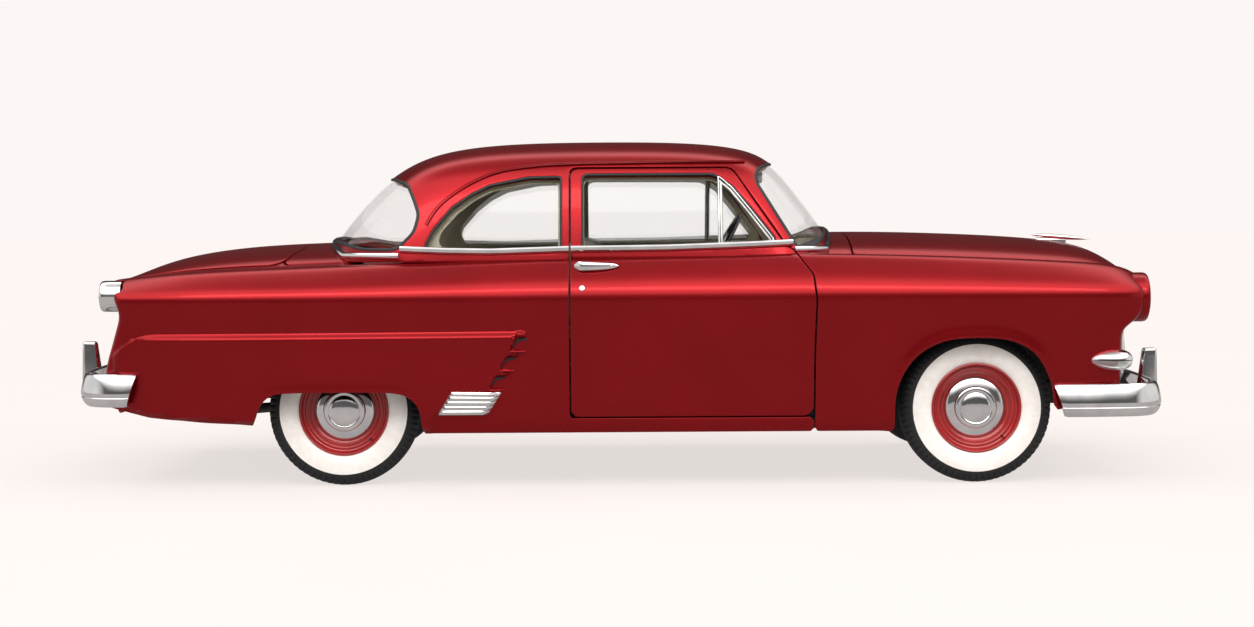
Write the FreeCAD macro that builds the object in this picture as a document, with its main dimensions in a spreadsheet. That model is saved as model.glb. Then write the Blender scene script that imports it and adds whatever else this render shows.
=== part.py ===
"""Two-door sedan of the early 1950s, in its own frame: +X forward, +Y left, +Z up, millimetres.

The origin is on the ground under the middle of the box that holds the whole car.
The painted panels are cut from two smooth hulls, the lower body and the greenhouse,
whose control lines run from tail to nose.
"""
import FreeCAD, Part
import Sketcher
import math
import os

DOC = FreeCAD.newDocument("Sedan")
V = FreeCAD.Vector

SIZES = [
    ("wheelbase", 2921, "front to rear wheel centres"),
    ("front_wheel_x", 1642, "front wheel centre, forward of the origin"),
    ("front_wheel_y", 736.6, "half of the front track"),
    ("rear_wheel_y", 711, "half of the rear track"),
    ("kingpin_y", 630, "kingpin, out from the middle"),
    ("tyre_radius", 348, "rolling radius, also the height of the wheel centres"),
    ("rim_radius", 196, "seat of the tyre on the rim"),
    ("hubcap_radius", 140, "outer edge of the hub cap"),
    ("spindle_radius", 20, "front spindle and rear axle end"),
    ("bore_clearance", 0.4, "round a spindle in its wheel"),
    ("half_width", 943.5, "widest point of the body from the middle"),
    ("roof_top", 1592, "top of the roof above the ground"),
    ("shoulder_level", 870, "crease that runs along the side"),
    ("panel_wall", 24, "thickness of fenders, lids and quarters"),
    ("door_wall", 64, "thickness of a door below the belt"),
    ("roof_wall", 40, "thickness of the roof and its pillars"),
    ("shut_gap", 7, "gap round doors, hood and trunk lid"),
    ("glass_depth", 10, "glass set in from the outer skin"),
    ("glass_thickness", 6, "thickness of every pane"),
    ("door_rear_x", -229, "middle of the rear shut line of the door"),
    ("hood_rear_x", 1088, "middle of the shut line behind the hood"),
    ("trunk_front_x", -1502, "middle of the shut line ahead of the trunk lid"),
    ("rail_width", 80, "frame rail, across"),
    ("rail_height", 100, "frame rail, upright"),
    ("rail_y", 385, "middle of each frame rail"),
    ("engine_length", 720, "engine block"),
    ("engine_width", 560, "engine block over its heads"),
    ("engine_height", 560, "engine block with its air cleaner"),
    ("radiator_width", 600, "radiator core"),
    ("radiator_height", 480, "radiator core"),
    ("radiator_depth", 70, "radiator core"),
    ("axle_tube", 40, "radius of the rear axle tube"),
    ("steering_wheel_radius", 225, "middle of the rim"),
    ("steering_grip", 13, "radius of the rim section"),
    ("column_radius", 22, "steering column"),
    ("steering_x", 502, "middle of the steering wheel"),
    ("steering_y", 380, "middle of the steering wheel"),
    ("steering_z", 1029, "middle of the steering wheel"),
    ("column_rake", 30, "degrees of the column below level"),
    ("headlamp_y", 742, "middle of a headlamp from the middle of the car"),
    ("headlamp_z", 852, "middle of a headlamp above the ground"),
    ("headlamp_radius", 94, "glass of a headlamp"),
    ("headlamp_rim", 114, "outer radius of a headlamp rim"),
    ("tail_lamp_y", 772, "middle of a tail lamp from the middle of the car"),
    ("tail_lamp_z", 884, "middle of a tail lamp above the ground"),
    ("tail_lamp_radius", 72, "outer radius of a tail lamp's bezel"),
    ("front_bumper_z", 388, "middle of the front bumper bar above the ground"),
    ("rear_bumper_z", 456, "middle of the rear bumper bar above the ground"),
    ("guard_y", 420, "middle of a bumper guard from the middle of the car"),
    ("exhaust_radius", 24, "exhaust pipe"),
]

SHEET = DOC.addObject("Spreadsheet::Sheet", "Sizes")
for row, (alias, value, note) in enumerate(SIZES, start=1):
    SHEET.set("A%d" % row, alias)
    SHEET.set("B%d" % row, str(value))
    SHEET.set("C%d" % row, note)
    SHEET.setAlias("B%d" % row, alias)
DOC.recompute()


def size(alias):
    """Value of one cell of the sheet."""
    return float(getattr(SHEET, alias))


NODES = []
BIG = 3000.0
TYRE_R = size("tyre_radius")
FRONT_X = size("front_wheel_x")
REAR_X = FRONT_X - size("wheelbase")
WALL = size("panel_wall")
GAP = size("shut_gap")
HALF_GAP = GAP / 2
SHOULDER = size("shoulder_level")


def node(obj, label):
    """Names a finished object as one node of the car."""
    obj.Label = label
    NODES.append(obj)
    return obj


def feature(label, shape):
    """A node whose surface is free-form, kept as one shape."""
    obj = DOC.addObject("Part::Feature", label)
    obj.Shape = shape
    return node(obj, label)


def bound(kind, name, **expressions):
    """A primitive whose sizes follow the sheet."""
    obj = DOC.addObject(kind, name)
    for prop, text in expressions.items():
        obj.setExpression(prop.replace("_at_", "Placement.Base."), text)
    return obj


def fused(label, objects):
    """A node made of several primitives."""
    obj = DOC.addObject("Part::MultiFuse", label)
    obj.Shapes = objects
    return node(obj, label)


def mirrored(shape):
    """The same shape on the other side of the car."""
    return shape.mirror(V(0, 0, 0), V(0, 1, 0))


def both(shape):
    """A shape of the right side together with its left twin."""
    return Part.makeCompound([shape, mirrored(shape)])


def along(table, x):
    """Value of a control line at station x, straight between its points."""
    stations = sorted(table)
    if x <= stations[0]:
        return table[stations[0]]
    for a, b in zip(stations, stations[1:]):
        if x <= b:
            return table[a] + (table[b] - table[a]) * (x - a) / (b - a)
    return table[stations[-1]]


# Control lines of the lower body: height or half width against distance forward.
STATIONS = [-2400, -2330, -2200, -1950, -1650, -1300, -900, -300, 300,
            800, 1150, 1450, 1800, 2050, 2220, 2330, 2400, 2428]
TAPER = {-2400: 106, -2330: 82, -2200: 55, -1950: 26, -1650: 9, -1300: 1, -900: 0, 300: 0, 1150: 1,
         1450: 3, 1800: 11, 2050: 20, 2220: 32, 2330: 48, 2400: 74, 2428: 96}
CROWN = {-2400: 948, -2330: 962, -2200: 978, -1950: 997, -1650: 1010, -1300: 1022, -900: 1040,
         -300: 1062, 300: 1068, 800: 1072, 1150: 1066, 1450: 1058, 1800: 1043, 2050: 1030,
         2220: 1018, 2330: 1000, 2400: 965, 2428: 925}
VALLEY_DROP = {-2400: 5, -1300: 14, -900: 15, 800: 30, 1150: 42, 2050: 48, 2428: 30}
MIDDLE = {-2400: 900, -2330: 958, -2200: 1030, -1950: 1080, -1650: 1102, -1300: 1112, -900: 1116,
          800: 1146, 1150: 1150, 1450: 1144, 1800: 1130, 2050: 1112, 2220: 1090, 2330: 1040,
          2400: 975, 2428: 930}
CROWN_Y = {-2400: 740, -1950: 800, 800: 800, 1450: 795, 2050: 775, 2330: 752, 2428: 735}
VALLEY_Y = {-2400: 600, -1950: 670, -900: 690, 800: 690, 1150: 672, 2050: 640, 2428: 615}
# Side of the lower body below the shoulder: inset from the widest line, and height.
SIDE_BELOW = [(108, 200), (62, 232), (40, 330), (26, 500), (15, 680), (4, 815)]


def lower_section(x):
    """Half section of the lower body at station x, from the sill to the middle."""
    w = size("half_width") - along(TAPER, x)
    crown = along(CROWN, x)
    valley = crown - along(VALLEY_DROP, x)
    middle = along(MIDDLE, x)
    crown_y = along(CROWN_Y, x)
    valley_y = along(VALLEY_Y, x)
    half = [(w - inset, z) for inset, z in SIDE_BELOW]
    half.append((w + 3, SHOULDER))
    half.append((w - 14, SHOULDER + 0.34 * (crown - SHOULDER)))
    half.append((0.35 * w + 0.65 * crown_y, SHOULDER + 0.78 * (crown - SHOULDER)))
    half.append((crown_y, crown))
    half.append((0.55 * crown_y + 0.45 * valley_y, crown - 0.3 * (crown - valley)))
    half.append((valley_y, valley))
    half.append((valley_y - 45, valley + 0.45 * (middle - valley)))
    half.append((valley_y * 0.62, valley + 0.86 * (middle - valley)))
    half.append((valley_y * 0.3, middle))
    half.append((0, middle))
    return half


def full_row(half):
    """Half a row of poles on the right side, and its mirror image on the left."""
    right = [V(x, -y, z) for x, y, z in half]
    left = [V(x, y, z) for x, y, z in reversed(half[:-1])]
    return right + left


def lower_net():
    """Poles of the lower body, one row for each station."""
    rows = []
    for x in STATIONS:
        rows.append(full_row([(x, y, z) for y, z in lower_section(x)]))
    return rows


# Rows of the greenhouse, from the backlight over the roof to the windscreen.
ROW_MIDDLE_X = [-1425, -1412, -1300, -1120, -905, -560, -60, 330, 600, 742, 870, 1040, 1075]
ROW_SIDE_X = [-1010, -1000, -975, -930, -860, -560, -60, 330, 520, 600, 690, 800, 830]
ROW_RISE = [0, 0.10, 0.37, 0.70, 0.92, 1.0, 1.008, 1.0, 0.95, 0.83, 0.55, 0.14, 0]
ROW_HALF_WIDTH = [790, 800, 806, 810, 812, 815, 818, 818, 815, 812, 808, 803, 795]
# Columns of the greenhouse, from the belt to the middle of the roof.
COLUMN_RISE = [0, 0.14, 0.42, 0.74, 0.90, 0.975, 1.0, 1.0]
COLUMN_Y_ROOF = [1.0, 0.985, 0.935, 0.865, 0.76, 0.56, 0.28, 0]
COLUMN_Y_FOOT = [1.0, 0.99, 0.955, 0.90, 0.80, 0.60, 0.30, 0]
COLUMN_WRAP = [0, 0.10, 0.28, 0.50, 0.72, 0.90, 1.0, 1.0]
GREENHOUSE_FOOT = 1030


def upper_net():
    """Poles of the greenhouse, one row for each hoop from belt to belt."""
    rise = size("roof_top") - GREENHOUSE_FOOT
    rows = []
    for i, up in enumerate(ROW_RISE):
        foot = 1 - up / max(ROW_RISE)
        half = []
        for j, column_up in enumerate(COLUMN_RISE):
            y = COLUMN_Y_ROOF[j] + (COLUMN_Y_FOOT[j] - COLUMN_Y_ROOF[j]) * foot
            x = ROW_SIDE_X[i] + (ROW_MIDDLE_X[i] - ROW_SIDE_X[i]) * COLUMN_WRAP[j]
            half.append((x, ROW_HALF_WIDTH[i] * y, GREENHOUSE_FOOT + rise * up * column_up))
        rows.append(full_row(half))
    return rows


def pole_normal(net, i, j):
    """Direction out of the hull at one pole, from the poles beside it."""
    rows = len(net)
    columns = len(net[0])
    du = net[min(i + 1, rows - 1)][j] - net[max(i - 1, 0)][j]
    dv = net[i][min(j + 1, columns - 1)] - net[i][max(j - 1, 0)]
    out = dv.cross(du)
    if out.Length < 1e-6:
        return V(0, 0, 1)
    return out.normalize()


def inset_lower(net, depth):
    """The lower body's poles moved in by depth within each section, open below."""
    rows = []
    for i, row in enumerate(net):
        new = []
        for j, pole in enumerate(row):
            before = row[max(j - 1, 0)]
            after = row[min(j + 1, len(row) - 1)]
            run = after - before
            normal = V(0, -run.z, run.y).normalize()
            if normal.dot(V(0, pole.y, pole.z - 600)) > 0:
                normal = normal * -1
            new.append(pole + normal * depth)
        for j in (0, -1):
            new[j] = V(new[j].x, new[j].y, row[j].z - 60)
        rows.append(new)
    return rows


def inset_upper(net, depth):
    """The greenhouse's poles moved in by depth, its foot kept level."""
    rows = []
    for i, row in enumerate(net):
        new = []
        for j, pole in enumerate(row):
            normal = pole_normal(net, i, j)
            if normal.dot(pole - V(-150, 0, 1000)) > 0:
                normal = normal * -1
            new.append(pole + normal * depth)
        rows.append(new)
    foot = net[0][0].z - 40
    for i, row in enumerate(rows):
        for j in (0, -1):
            row[j] = V(row[j].x, row[j].y, foot)
    for i in (0, -1):
        rows[i] = [V(p.x, p.y, foot) for p in rows[i]]
    return rows


def spline_surface(net):
    """Clamped cubic surface over a net of poles, with evenly spaced knots."""
    def knots(count):
        spans = count - 3
        return [k / spans for k in range(spans + 1)], [4] + [1] * (spans - 1) + [4]
    u_knots, u_mults = knots(len(net))
    v_knots, v_mults = knots(len(net[0]))
    surface = Part.BSplineSurface()
    surface.buildFromPolesMultsKnots(net, u_mults, v_mults, u_knots, v_knots, False, False, 3, 3)
    return surface


def closed_hull(surface):
    """The space under a skin whose rims each lie in one plane."""
    skin = surface.toShape()
    first_side = surface.vIso(0.0).toShape()
    last_side = surface.vIso(1.0).toShape()
    first_end = surface.uIso(0.0).toShape()
    last_end = surface.uIso(1.0).toShape()
    corners = [surface.value(u, v) for u in (0, 1) for v in (0, 1)]
    faces = [skin]
    if (corners[0] - corners[1]).Length > 1 and abs(corners[0].z - surface.value(0, 0.5).z) > 1:
        tail_sill = Part.LineSegment(corners[0], corners[1]).toShape()
        nose_sill = Part.LineSegment(corners[2], corners[3]).toShape()
        faces.append(Part.Face(Part.Wire([first_end, tail_sill])))
        faces.append(Part.Face(Part.Wire([last_end, nose_sill])))
        rim = Part.Wire(Part.sortEdges([first_side, nose_sill, last_side, tail_sill])[0])
    else:
        rim = Part.Wire(Part.sortEdges([first_side, last_end, last_side, first_end])[0])
    faces.append(Part.Face(rim))
    shell = Part.Compound(faces)
    shell.sewShape()
    solid = Part.Solid(shell.Shells[0])
    if solid.Volume < 0:
        solid.reverse()
    return solid


# End skins: distance forward against height, for the middle and for the corners of the car.
NOSE_LEVELS = [100, 330, 470, 580, 670, 715, 745, 790, 860, 920, 965, 1010, 1100, 1250]
NOSE_MIDDLE = [2290, 2320, 2350, 2376, 2388, 2394, 2398, 2402, 2406, 2404, 2400, 2396, 2390, 2380]
NOSE_CORNER = [2285, 2298, 2308, 2311, 2311, 2318, 2372, 2414, 2420, 2419, 2412, 2404, 2396, 2390]
TAIL_LEVELS = [100, 300, 400, 540, 640, 740, 790, 830, 880, 930, 965, 1000, 1100, 1250]
TAIL_MIDDLE = [-2290, -2330, -2362, -2378, -2374, -2368, -2364,
               -2360, -2352, -2340, -2332, -2328, -2322, -2315]
TAIL_CORNER = [-2290, -2338, -2374, -2382, -2345, -2316, -2304,
               -2314, -2334, -2346, -2350, -2352, -2354, -2356]
END_Y = [0, 250, 440, 560, 650, 740, 830, 890, 1000]
LOW_BLEND = [0, 0.10, 0.28, 0.45, 0.60, 0.78, 0.94, 1, 1]
HIGH_BLEND = [0, 0, 0.12, 0.55, 0.92, 1, 1, 1, 1]
CORNER_ROUND = [0, 0, 0, 0, 0, 0, 6, 22, 60]


def end_net(levels, middle, corner, split, outward, shift):
    """Poles of a skin across one end of the car, from the ground up."""
    rows = []
    for z, x_middle, x_corner in zip(levels, middle, corner):
        blend = HIGH_BLEND if z > split else LOW_BLEND
        half = []
        for y, share, back in zip(END_Y, blend, CORNER_ROUND):
            x = x_middle + (x_corner - x_middle) * share - outward * back + shift
            half.append((x, y, z))
        rows.append(full_row(list(reversed(half))))
    return rows


def end_block(net, x_back):
    """The space between an end skin and a far plane inside the car."""
    surface = spline_surface(net)
    edges = [surface.uIso(0.0), surface.uIso(1.0), surface.vIso(0.0), surface.vIso(1.0)]
    a = surface.value(0, 0)
    b = surface.value(0, 1)
    c = surface.value(1, 1)
    e = surface.value(1, 0)
    back = [V(x_back, p.y, p.z) for p in (a, b, c, e)]
    ribs = [Part.LineSegment(p, q).toShape() for p, q in zip((a, b, c, e), back)]
    rear = [Part.LineSegment(back[i], back[(i + 1) % 4]).toShape() for i in range(4)]
    low = Part.Face(Part.Wire(Part.sortEdges([edges[0].toShape(), ribs[1], rear[0], ribs[0]])[0]))
    left = Part.Face(Part.Wire(Part.sortEdges([edges[3].toShape(), ribs[2], rear[1], ribs[1]])[0]))
    high = Part.Face(Part.Wire(Part.sortEdges([edges[1].toShape(), ribs[3], rear[2], ribs[2]])[0]))
    right = Part.Face(Part.Wire(Part.sortEdges([edges[2].toShape(), ribs[0], rear[3], ribs[3]])[0]))
    far = Part.Face(Part.Wire(Part.sortEdges(rear)[0]))
    shell = Part.Compound([surface.toShape(), low, left, high, right, far])
    shell.sewShape()
    solid = Part.Solid(shell.Shells[0])
    if solid.Volume < 0:
        solid.reverse()
    return solid


def nose_block(shift):
    """Everything behind the nose skin moved back by shift."""
    return end_block(end_net(NOSE_LEVELS, NOSE_MIDDLE, NOSE_CORNER, 735, 1, -shift), 0)


def tail_block(shift):
    """Everything ahead of the tail skin moved forward by shift."""
    return end_block(end_net(TAIL_LEVELS, TAIL_MIDDLE, TAIL_CORNER, 760, -1, shift), 0)


def lower_space(depth):
    """The space inside the lower body's skin moved in by depth."""
    net = lower_net()
    if depth:
        net = inset_lower(net, depth)
    hull = closed_hull(spline_surface(net))
    front = hull.common(nose_block(depth))
    rear = hull.common(tail_block(depth))
    return front, rear


def corner_arc(before, corner, after, radius):
    """Points where a rounded corner starts and ends, and the middle of its arc."""
    back = (before - corner).normalize()
    ahead = (after - corner).normalize()
    angle = back.getAngle(ahead)
    reach = radius / math.tan(angle / 2)
    start = corner + back * reach
    end = corner + ahead * reach
    bisector = (back + ahead).normalize()
    middle = corner + bisector * (radius / math.sin(angle / 2) - radius)
    return start, middle, end


def outline(points, to_space):
    """Closed outline with rounded corners; a point is (a, b) or (a, b, radius)."""
    corners = [to_space(p[0], p[1]) for p in points]
    radii = [p[2] if len(p) > 2 else 0 for p in points]
    count = len(corners)
    edges = []
    starts = []
    ends = []
    arcs = []
    for i in range(count):
        if radii[i]:
            first, mid, last = corner_arc(corners[i - 1], corners[i], corners[(i + 1) % count], radii[i])
            arcs.append(Part.Arc(first, mid, last).toShape())
        else:
            first = last = corners[i]
            arcs.append(None)
        starts.append(first)
        ends.append(last)
    for i in range(count):
        if arcs[i]:
            edges.append(arcs[i])
        nxt = starts[(i + 1) % count]
        if (nxt - ends[i]).Length > 1e-6:
            edges.append(Part.LineSegment(ends[i], nxt).toShape())
    return Part.Face(Part.Wire(edges))


def side_prism(points, y_from, y_to):
    """A side-view outline in x and z, carried across from y_from to y_to."""
    face = outline(points, lambda x, z: V(x, y_from, z))
    return face.extrude(V(0, y_to - y_from, 0))


def arch_prism(points, y_from, y_to):
    """Wheel opening: a smooth arch through points, open to the ground."""
    at = [V(x, y_from, z) for x, z in points]
    arch = Part.BSplineCurve()
    arch.interpolate(at)
    low = [V(points[-1][0], y_from, 100), V(points[0][0], y_from, 100)]
    legs = Part.makePolygon([at[-1], low[0], low[1], at[0]]).Edges
    return Part.Face(Part.Wire([arch.toShape()] + legs)).extrude(V(0, y_to - y_from, 0))


def plan_prism(points, z_from, z_to):
    """A plan-view outline in x and y, carried up from z_from to z_to."""
    face = outline(points, lambda x, y: V(x, y, z_from))
    return face.extrude(V(0, 0, z_to - z_from))


def front_prism(points, x_from, x_to):
    """A front-view outline in y and z, carried forward from x_from to x_to."""
    face = outline(points, lambda y, z: V(x_from, y, z))
    return face.extrude(V(x_to - x_from, 0, 0))


def block(x0, x1, y0, y1, z0, z1):
    """A plain block between two corners."""
    return Part.makeBox(x1 - x0, y1 - y0, z1 - z0, V(x0, y0, z0))


def symmetric(half):
    """Plan points of the right half, given from rear to front, closed by the left half."""
    return half + [(p[0], -p[1]) + tuple(p[2:]) for p in reversed(half)]


def loose(shape):
    """The solids of a boolean result, without slivers."""
    solids = [s for s in shape.Solids if s.Volume > 2000]
    if len(solids) == 1:
        return solids[0]
    return Part.makeCompound(solids)


OUTER_FRONT, OUTER_REAR = lower_space(0)
INNER_FRONT, INNER_REAR = lower_space(WALL)
DOOR_FRONT, DOOR_REAR = lower_space(size("door_wall"))
UPPER = closed_hull(spline_surface(upper_net()))
UPPER_INNER = closed_hull(spline_surface(inset_upper(upper_net(), size("roof_wall"))))
GLASS_DEPTH = size("glass_depth")
GLASS_OUTER = closed_hull(spline_surface(inset_upper(upper_net(), GLASS_DEPTH)))
GLASS_INNER = closed_hull(spline_surface(inset_upper(upper_net(), GLASS_DEPTH + size("glass_thickness"))))

FRONT_SHELL = OUTER_FRONT.cut(INNER_FRONT)
REAR_SHELL = OUTER_REAR.cut(INNER_REAR)
UPPER_SHELL = UPPER.cut(UPPER_INNER)
GLASS_SHELL = GLASS_OUTER.cut(GLASS_INNER)

# Shut lines in side view.
DOOR_TOP = 1464
DOOR_FRONT_LINE = [(887, 321, 45), (888, 600), (897, 855), (884, 973), (806, 1080),
                   (768, 1104), (632, 1300), (552, 1420, 50), (522, DOOR_TOP, 60)]
DOOR_REAR_X = size("door_rear_x")
DOOR_WINDOW = [(-176, 1086, 18), (-176, 1438, 26), (440, 1438, 70), (526, 1380), (612, 1274),
               (724, 1132, 12), (706, 1098, 16)]
QUARTER_WINDOW = [(-265, 1076, 14), (-265, 1428, 16), (-420, 1426, 200), (-600, 1390),
                  (-690, 1345), (-776, 1284), (-864, 1180), (-912, 1082, 18)]
FRONT_ARCH = [(1254, 300), (1258, 410), (1291, 512), (1364, 605), (1480, 664), (1624, 678), (1780, 664),
              (1895, 602), (1965, 480), (1990, 345)]
REAR_ARCH = [(-1678, 290), (-1650, 376), (-1600, 428), (-1520, 444), (-1267, 447), (-1060, 444),
             (-970, 424), (-920, 366), (-903, 258)]
HOOD_HALF = [(1.0, 668), (1.5, 662), (2.0, 640), (2.2, 612), (2.32, 584), (2.46, 580)]
HOOD_NOSE_Z = 800
DECK_HALF = 660
DECK_NOSE_Z = 600
PANEL_SPLIT_Y = 716
TAIL_LAMP = size("tail_lamp_radius")


def door_outline(grow):
    """Side outline of a door, grown by grow on every side."""
    rear = DOOR_REAR_X - grow
    points = [(rear, 321 - grow, 30)]
    for p in DOOR_FRONT_LINE:
        x = p[0] + grow
        z = p[1]
        if z == 321:
            z -= grow
        if z == DOOR_TOP:
            z += grow
        points.append((x, z) + tuple(p[2:]))
    points.append((rear, DOOR_TOP + grow, 30))
    return points


def slanted_block(offset):
    """Solid ahead of the slanted rear shut face of the right door, above the belt."""
    slope = 0.27
    lean = 0.31
    x0 = DOOR_REAR_X + offset
    y_out = -830
    y_in = -560
    z_low = 1068
    z_high = 1520
    at = []
    for y, z in ((y_out, z_low), (y_in, z_low), (y_in, z_high), (y_out, z_high)):
        depth = (y + 800) - lean * (z - 1075)
        at.append(V(x0 + slope * depth, y, z))
    return Part.Face(Part.makePolygon(at + [at[0]])).extrude(V(BIG, 0, 0))


def cabin_opening():
    """The space cut through the lower body for the people."""
    half = [(-1372, -1), (-1330, -330, 150), (-1190, -560, 200), (-985, -700, 200), (-820, -738, 90),
            (680, -738, 60), (800, -700, 90), (930, -520, 200), (1012, -260, 300), (1030, -1)]
    return plan_prism(symmetric(half), 880, 1400)


CABIN = cabin_opening()
ROOF_SEAT = OUTER_FRONT.fuse(OUTER_REAR)


def hood_plan(grow):
    """Plan outline of the hood, grown sideways and to the rear."""
    half = [(size("hood_rear_x") - grow, -1)]
    half.append((size("hood_rear_x") - grow, -668 - grow, 30))
    for x, y in HOOD_HALF[1:]:
        half.append((x * 1000, -y - grow))
    return symmetric(half)


def make_door():
    """Right door: pressed wall, window frame and handle."""
    shell = OUTER_FRONT.cut(DOOR_FRONT).fuse(OUTER_REAR.cut(DOOR_REAR))
    shell = shell.common(side_prism(door_outline(-HALF_GAP), -1100, -700))
    shell = shell.cut(CABIN)
    frame = UPPER_SHELL.common(side_prism(door_outline(-HALF_GAP), -1100, -500))
    frame = frame.common(block(-BIG, BIG, -BIG, 0, 1040, BIG))
    frame = frame.cut(block(-1000, 0, -1100, 0, 1068, 2000).cut(slanted_block(HALF_GAP)))
    whole = shell.fuse(frame).cut(side_prism(DOOR_WINDOW, -1100, -500))
    handle = side_prism([(-205, 1000, 8), (-205, 1026, 10), (-20, 1024, 10), (-8, 1016, 4), (-20, 1004, 6)],
                        -912, -898)
    feet = block(-195, -165, -905, -840, 1004, 1020).fuse(block(-60, -30, -905, -840, 1004, 1018))
    handle = handle.fuse(feet).cut(OUTER_FRONT.fuse(OUTER_REAR))
    return loose(whole.fuse(handle))


def make_door_glass():
    """Right door pane."""
    return loose(GLASS_SHELL.common(side_prism(DOOR_WINDOW, -1100, -500)))


DOOR = make_door()
feature("door_right", DOOR)
feature("door_left", mirrored(DOOR))
GLASS = make_door_glass()
feature("door_glass_right", GLASS)
feature("door_glass_left", mirrored(GLASS))

WINDSCREEN_EDGE = [(870, 1060), (824, 1088, 40), (697, 1294), (600, 1452, 60), (735, 1486),
                   (1300, 1486), (1300, 1186), (1010, 1186)]
BACKLIGHT_EDGE = [(-1700, 1420), (-1072, 1420), (-985, 1395, 40), (-950, 1320, 90), (-926, 1252, 60),
                  (-948, 1170, 90), (-1030, 1090, 60), (-1200, 1092), (-1320, 1122), (-1700, 1122)]


# Middle of the gutter above the side windows, from front to rear.
DRIP_LINE = [(584, 1488), (300, 1488), (-93, 1484), (-243, 1481), (-376, 1474), (-554, 1449), (-687, 1396),
             (-790, 1330), (-852, 1270), (-892, 1205)]


def make_drip_rail():
    """Gutter of the right side, a narrow band standing 7 mm out of the roof."""
    edges = []
    for shift in (5, -4):
        curve = Part.BSplineCurve()
        curve.interpolate([V(x, -1100, z + shift) for x, z in DRIP_LINE])
        edges.append(curve)
    ends = [Part.LineSegment(edges[0].StartPoint, edges[1].StartPoint),
            Part.LineSegment(edges[0].EndPoint, edges[1].EndPoint)]
    wire = Part.Wire(Part.sortEdges([e.toShape() for e in edges + ends])[0])
    band = Part.Face(wire).extrude(V(0, 600, 0))
    proud = closed_hull(spline_surface(inset_upper(upper_net(), -7)))
    return band.common(proud).cut(UPPER_INNER)


def make_roof():
    """Roof, pillars, gutters and window surrounds down to the belt."""
    body = UPPER_SHELL.common(block(-BIG, BIG, -BIG, BIG, 1040, BIG)).cut(ROOF_SEAT)
    body = body.fuse(both(make_drip_rail()).Solids)
    body = body.cut(both(side_prism(DOOR_WINDOW, -1100, -500)))
    opening = side_prism(door_outline(HALF_GAP), -1100, -500)
    rear_part = block(-1000, 0, -1100, 0, 1068, 2000)
    opening = opening.cut(rear_part).fuse(
        side_prism([(-400, 300), (100, 300), (100, DOOR_TOP + HALF_GAP), (-400, DOOR_TOP + HALF_GAP)],
                   -1100, -500).common(slanted_block(-HALF_GAP)))
    body = body.cut(both(opening))
    body = body.cut(both(side_prism(QUARTER_WINDOW, -1100, -500)))
    body = body.cut(side_prism(WINDSCREEN_EDGE, -1100, 1100))
    body = body.cut(side_prism(BACKLIGHT_EDGE, -1100, 1100))
    return loose(body)


feature("roof", make_roof())
feature("windscreen", loose(GLASS_SHELL.common(side_prism(WINDSCREEN_EDGE, -1100, 1100)).cut(ROOF_SEAT)))
feature("rear_window", loose(GLASS_SHELL.common(side_prism(BACKLIGHT_EDGE, -1100, 1100)).cut(ROOF_SEAT)))
feature("quarter_windows", both(loose(GLASS_SHELL.common(side_prism(QUARTER_WINDOW, -1100, -500)))))


def nose_slab(z_from, z_to, y_limit):
    """Block across the nose between two heights."""
    return block(1900, 2500, -y_limit, y_limit, z_from, z_to)


def arch_lip(points, width, out):
    """Rolled lip round the right front wheel opening, of a width and standing out of the panel."""
    centre = V(FRONT_X, 0, TYRE_R)
    wide = []
    for x, z in points:
        away = (V(x, 0, z) - centre).normalize() * width
        wide.append((x + away.x, z + away.z))
    ring = arch_prism(wide, -1100, -700).cut(arch_prism(points, -1100, -700))
    proud = closed_hull(spline_surface(inset_lower(lower_net(), -out)))
    return ring.common(proud).cut(INNER_FRONT)


def make_fender():
    """Right front fender with its headlamp rim and its lipped wheel arch."""
    area = [(887 + HALF_GAP, 250), (888 + HALF_GAP, 600), (897 + HALF_GAP, 855), (884 + HALF_GAP, 973),
            (806 + HALF_GAP, 1080), (750, 1112), (750, 1240), (2500, 1240), (2500, 430),
            (2311, 410, 60), (2180, 366), (1998, 345), (1998, 250), (1262, 250)]
    shell = FRONT_SHELL.fuse(arch_lip(FRONT_ARCH, 22, 6)).common(side_prism(area, -1100, 0))
    shell = shell.cut(arch_prism(FRONT_ARCH, -1100, -500))
    hood_hole = plan_prism(hood_plan(HALF_GAP), 740, 1300).cut(nose_slab(700, HOOD_NOSE_Z - HALF_GAP, 1000))
    shell = shell.cut(hood_hole)
    shell = shell.cut(nose_slab(200, HOOD_NOSE_Z - HALF_GAP, PANEL_SPLIT_Y))
    shell = shell.cut(block(600, 1100, -690, 0, 200, 1300))
    shell = shell.cut(CABIN)
    axis = V(1, 0, 0)
    at = V(2340, -size("headlamp_y"), size("headlamp_z"))
    shell = shell.cut(Part.makeCylinder(size("headlamp_radius"), 200, at, axis))
    barrel = Part.makeCylinder(size("headlamp_rim"), 96, at, axis)
    barrel = barrel.cut(Part.makeCylinder(size("headlamp_radius"), 200, at, axis))
    barrel = barrel.makeFillet(12, [e for e in barrel.Edges if e.CenterOfMass.x > 2430 and e.Length > 650])
    return loose(shell.fuse(barrel))


FENDER = make_fender()
feature("fender_right", FENDER)
feature("fender_left", mirrored(FENDER))


def make_hood():
    """Hood with its long low ornament."""
    shell = FRONT_SHELL.common(plan_prism(hood_plan(-HALF_GAP), 700, 1300))
    shell = shell.cut(nose_slab(200, HOOD_NOSE_Z + HALF_GAP, 1000))
    shell = shell.cut(block(1000, 2400, -1000, 1000, 600, 900).cut(nose_slab(600, 900, 1000)))
    blade = side_prism([(2020, 1090), (2060, 1134, 30), (2150, 1136, 80), (2330, 1104, 6), (2240, 1092)],
                       -9, 9)
    return loose(shell.fuse(blade.cut(INNER_FRONT)))


feature("hood", make_hood())


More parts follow.
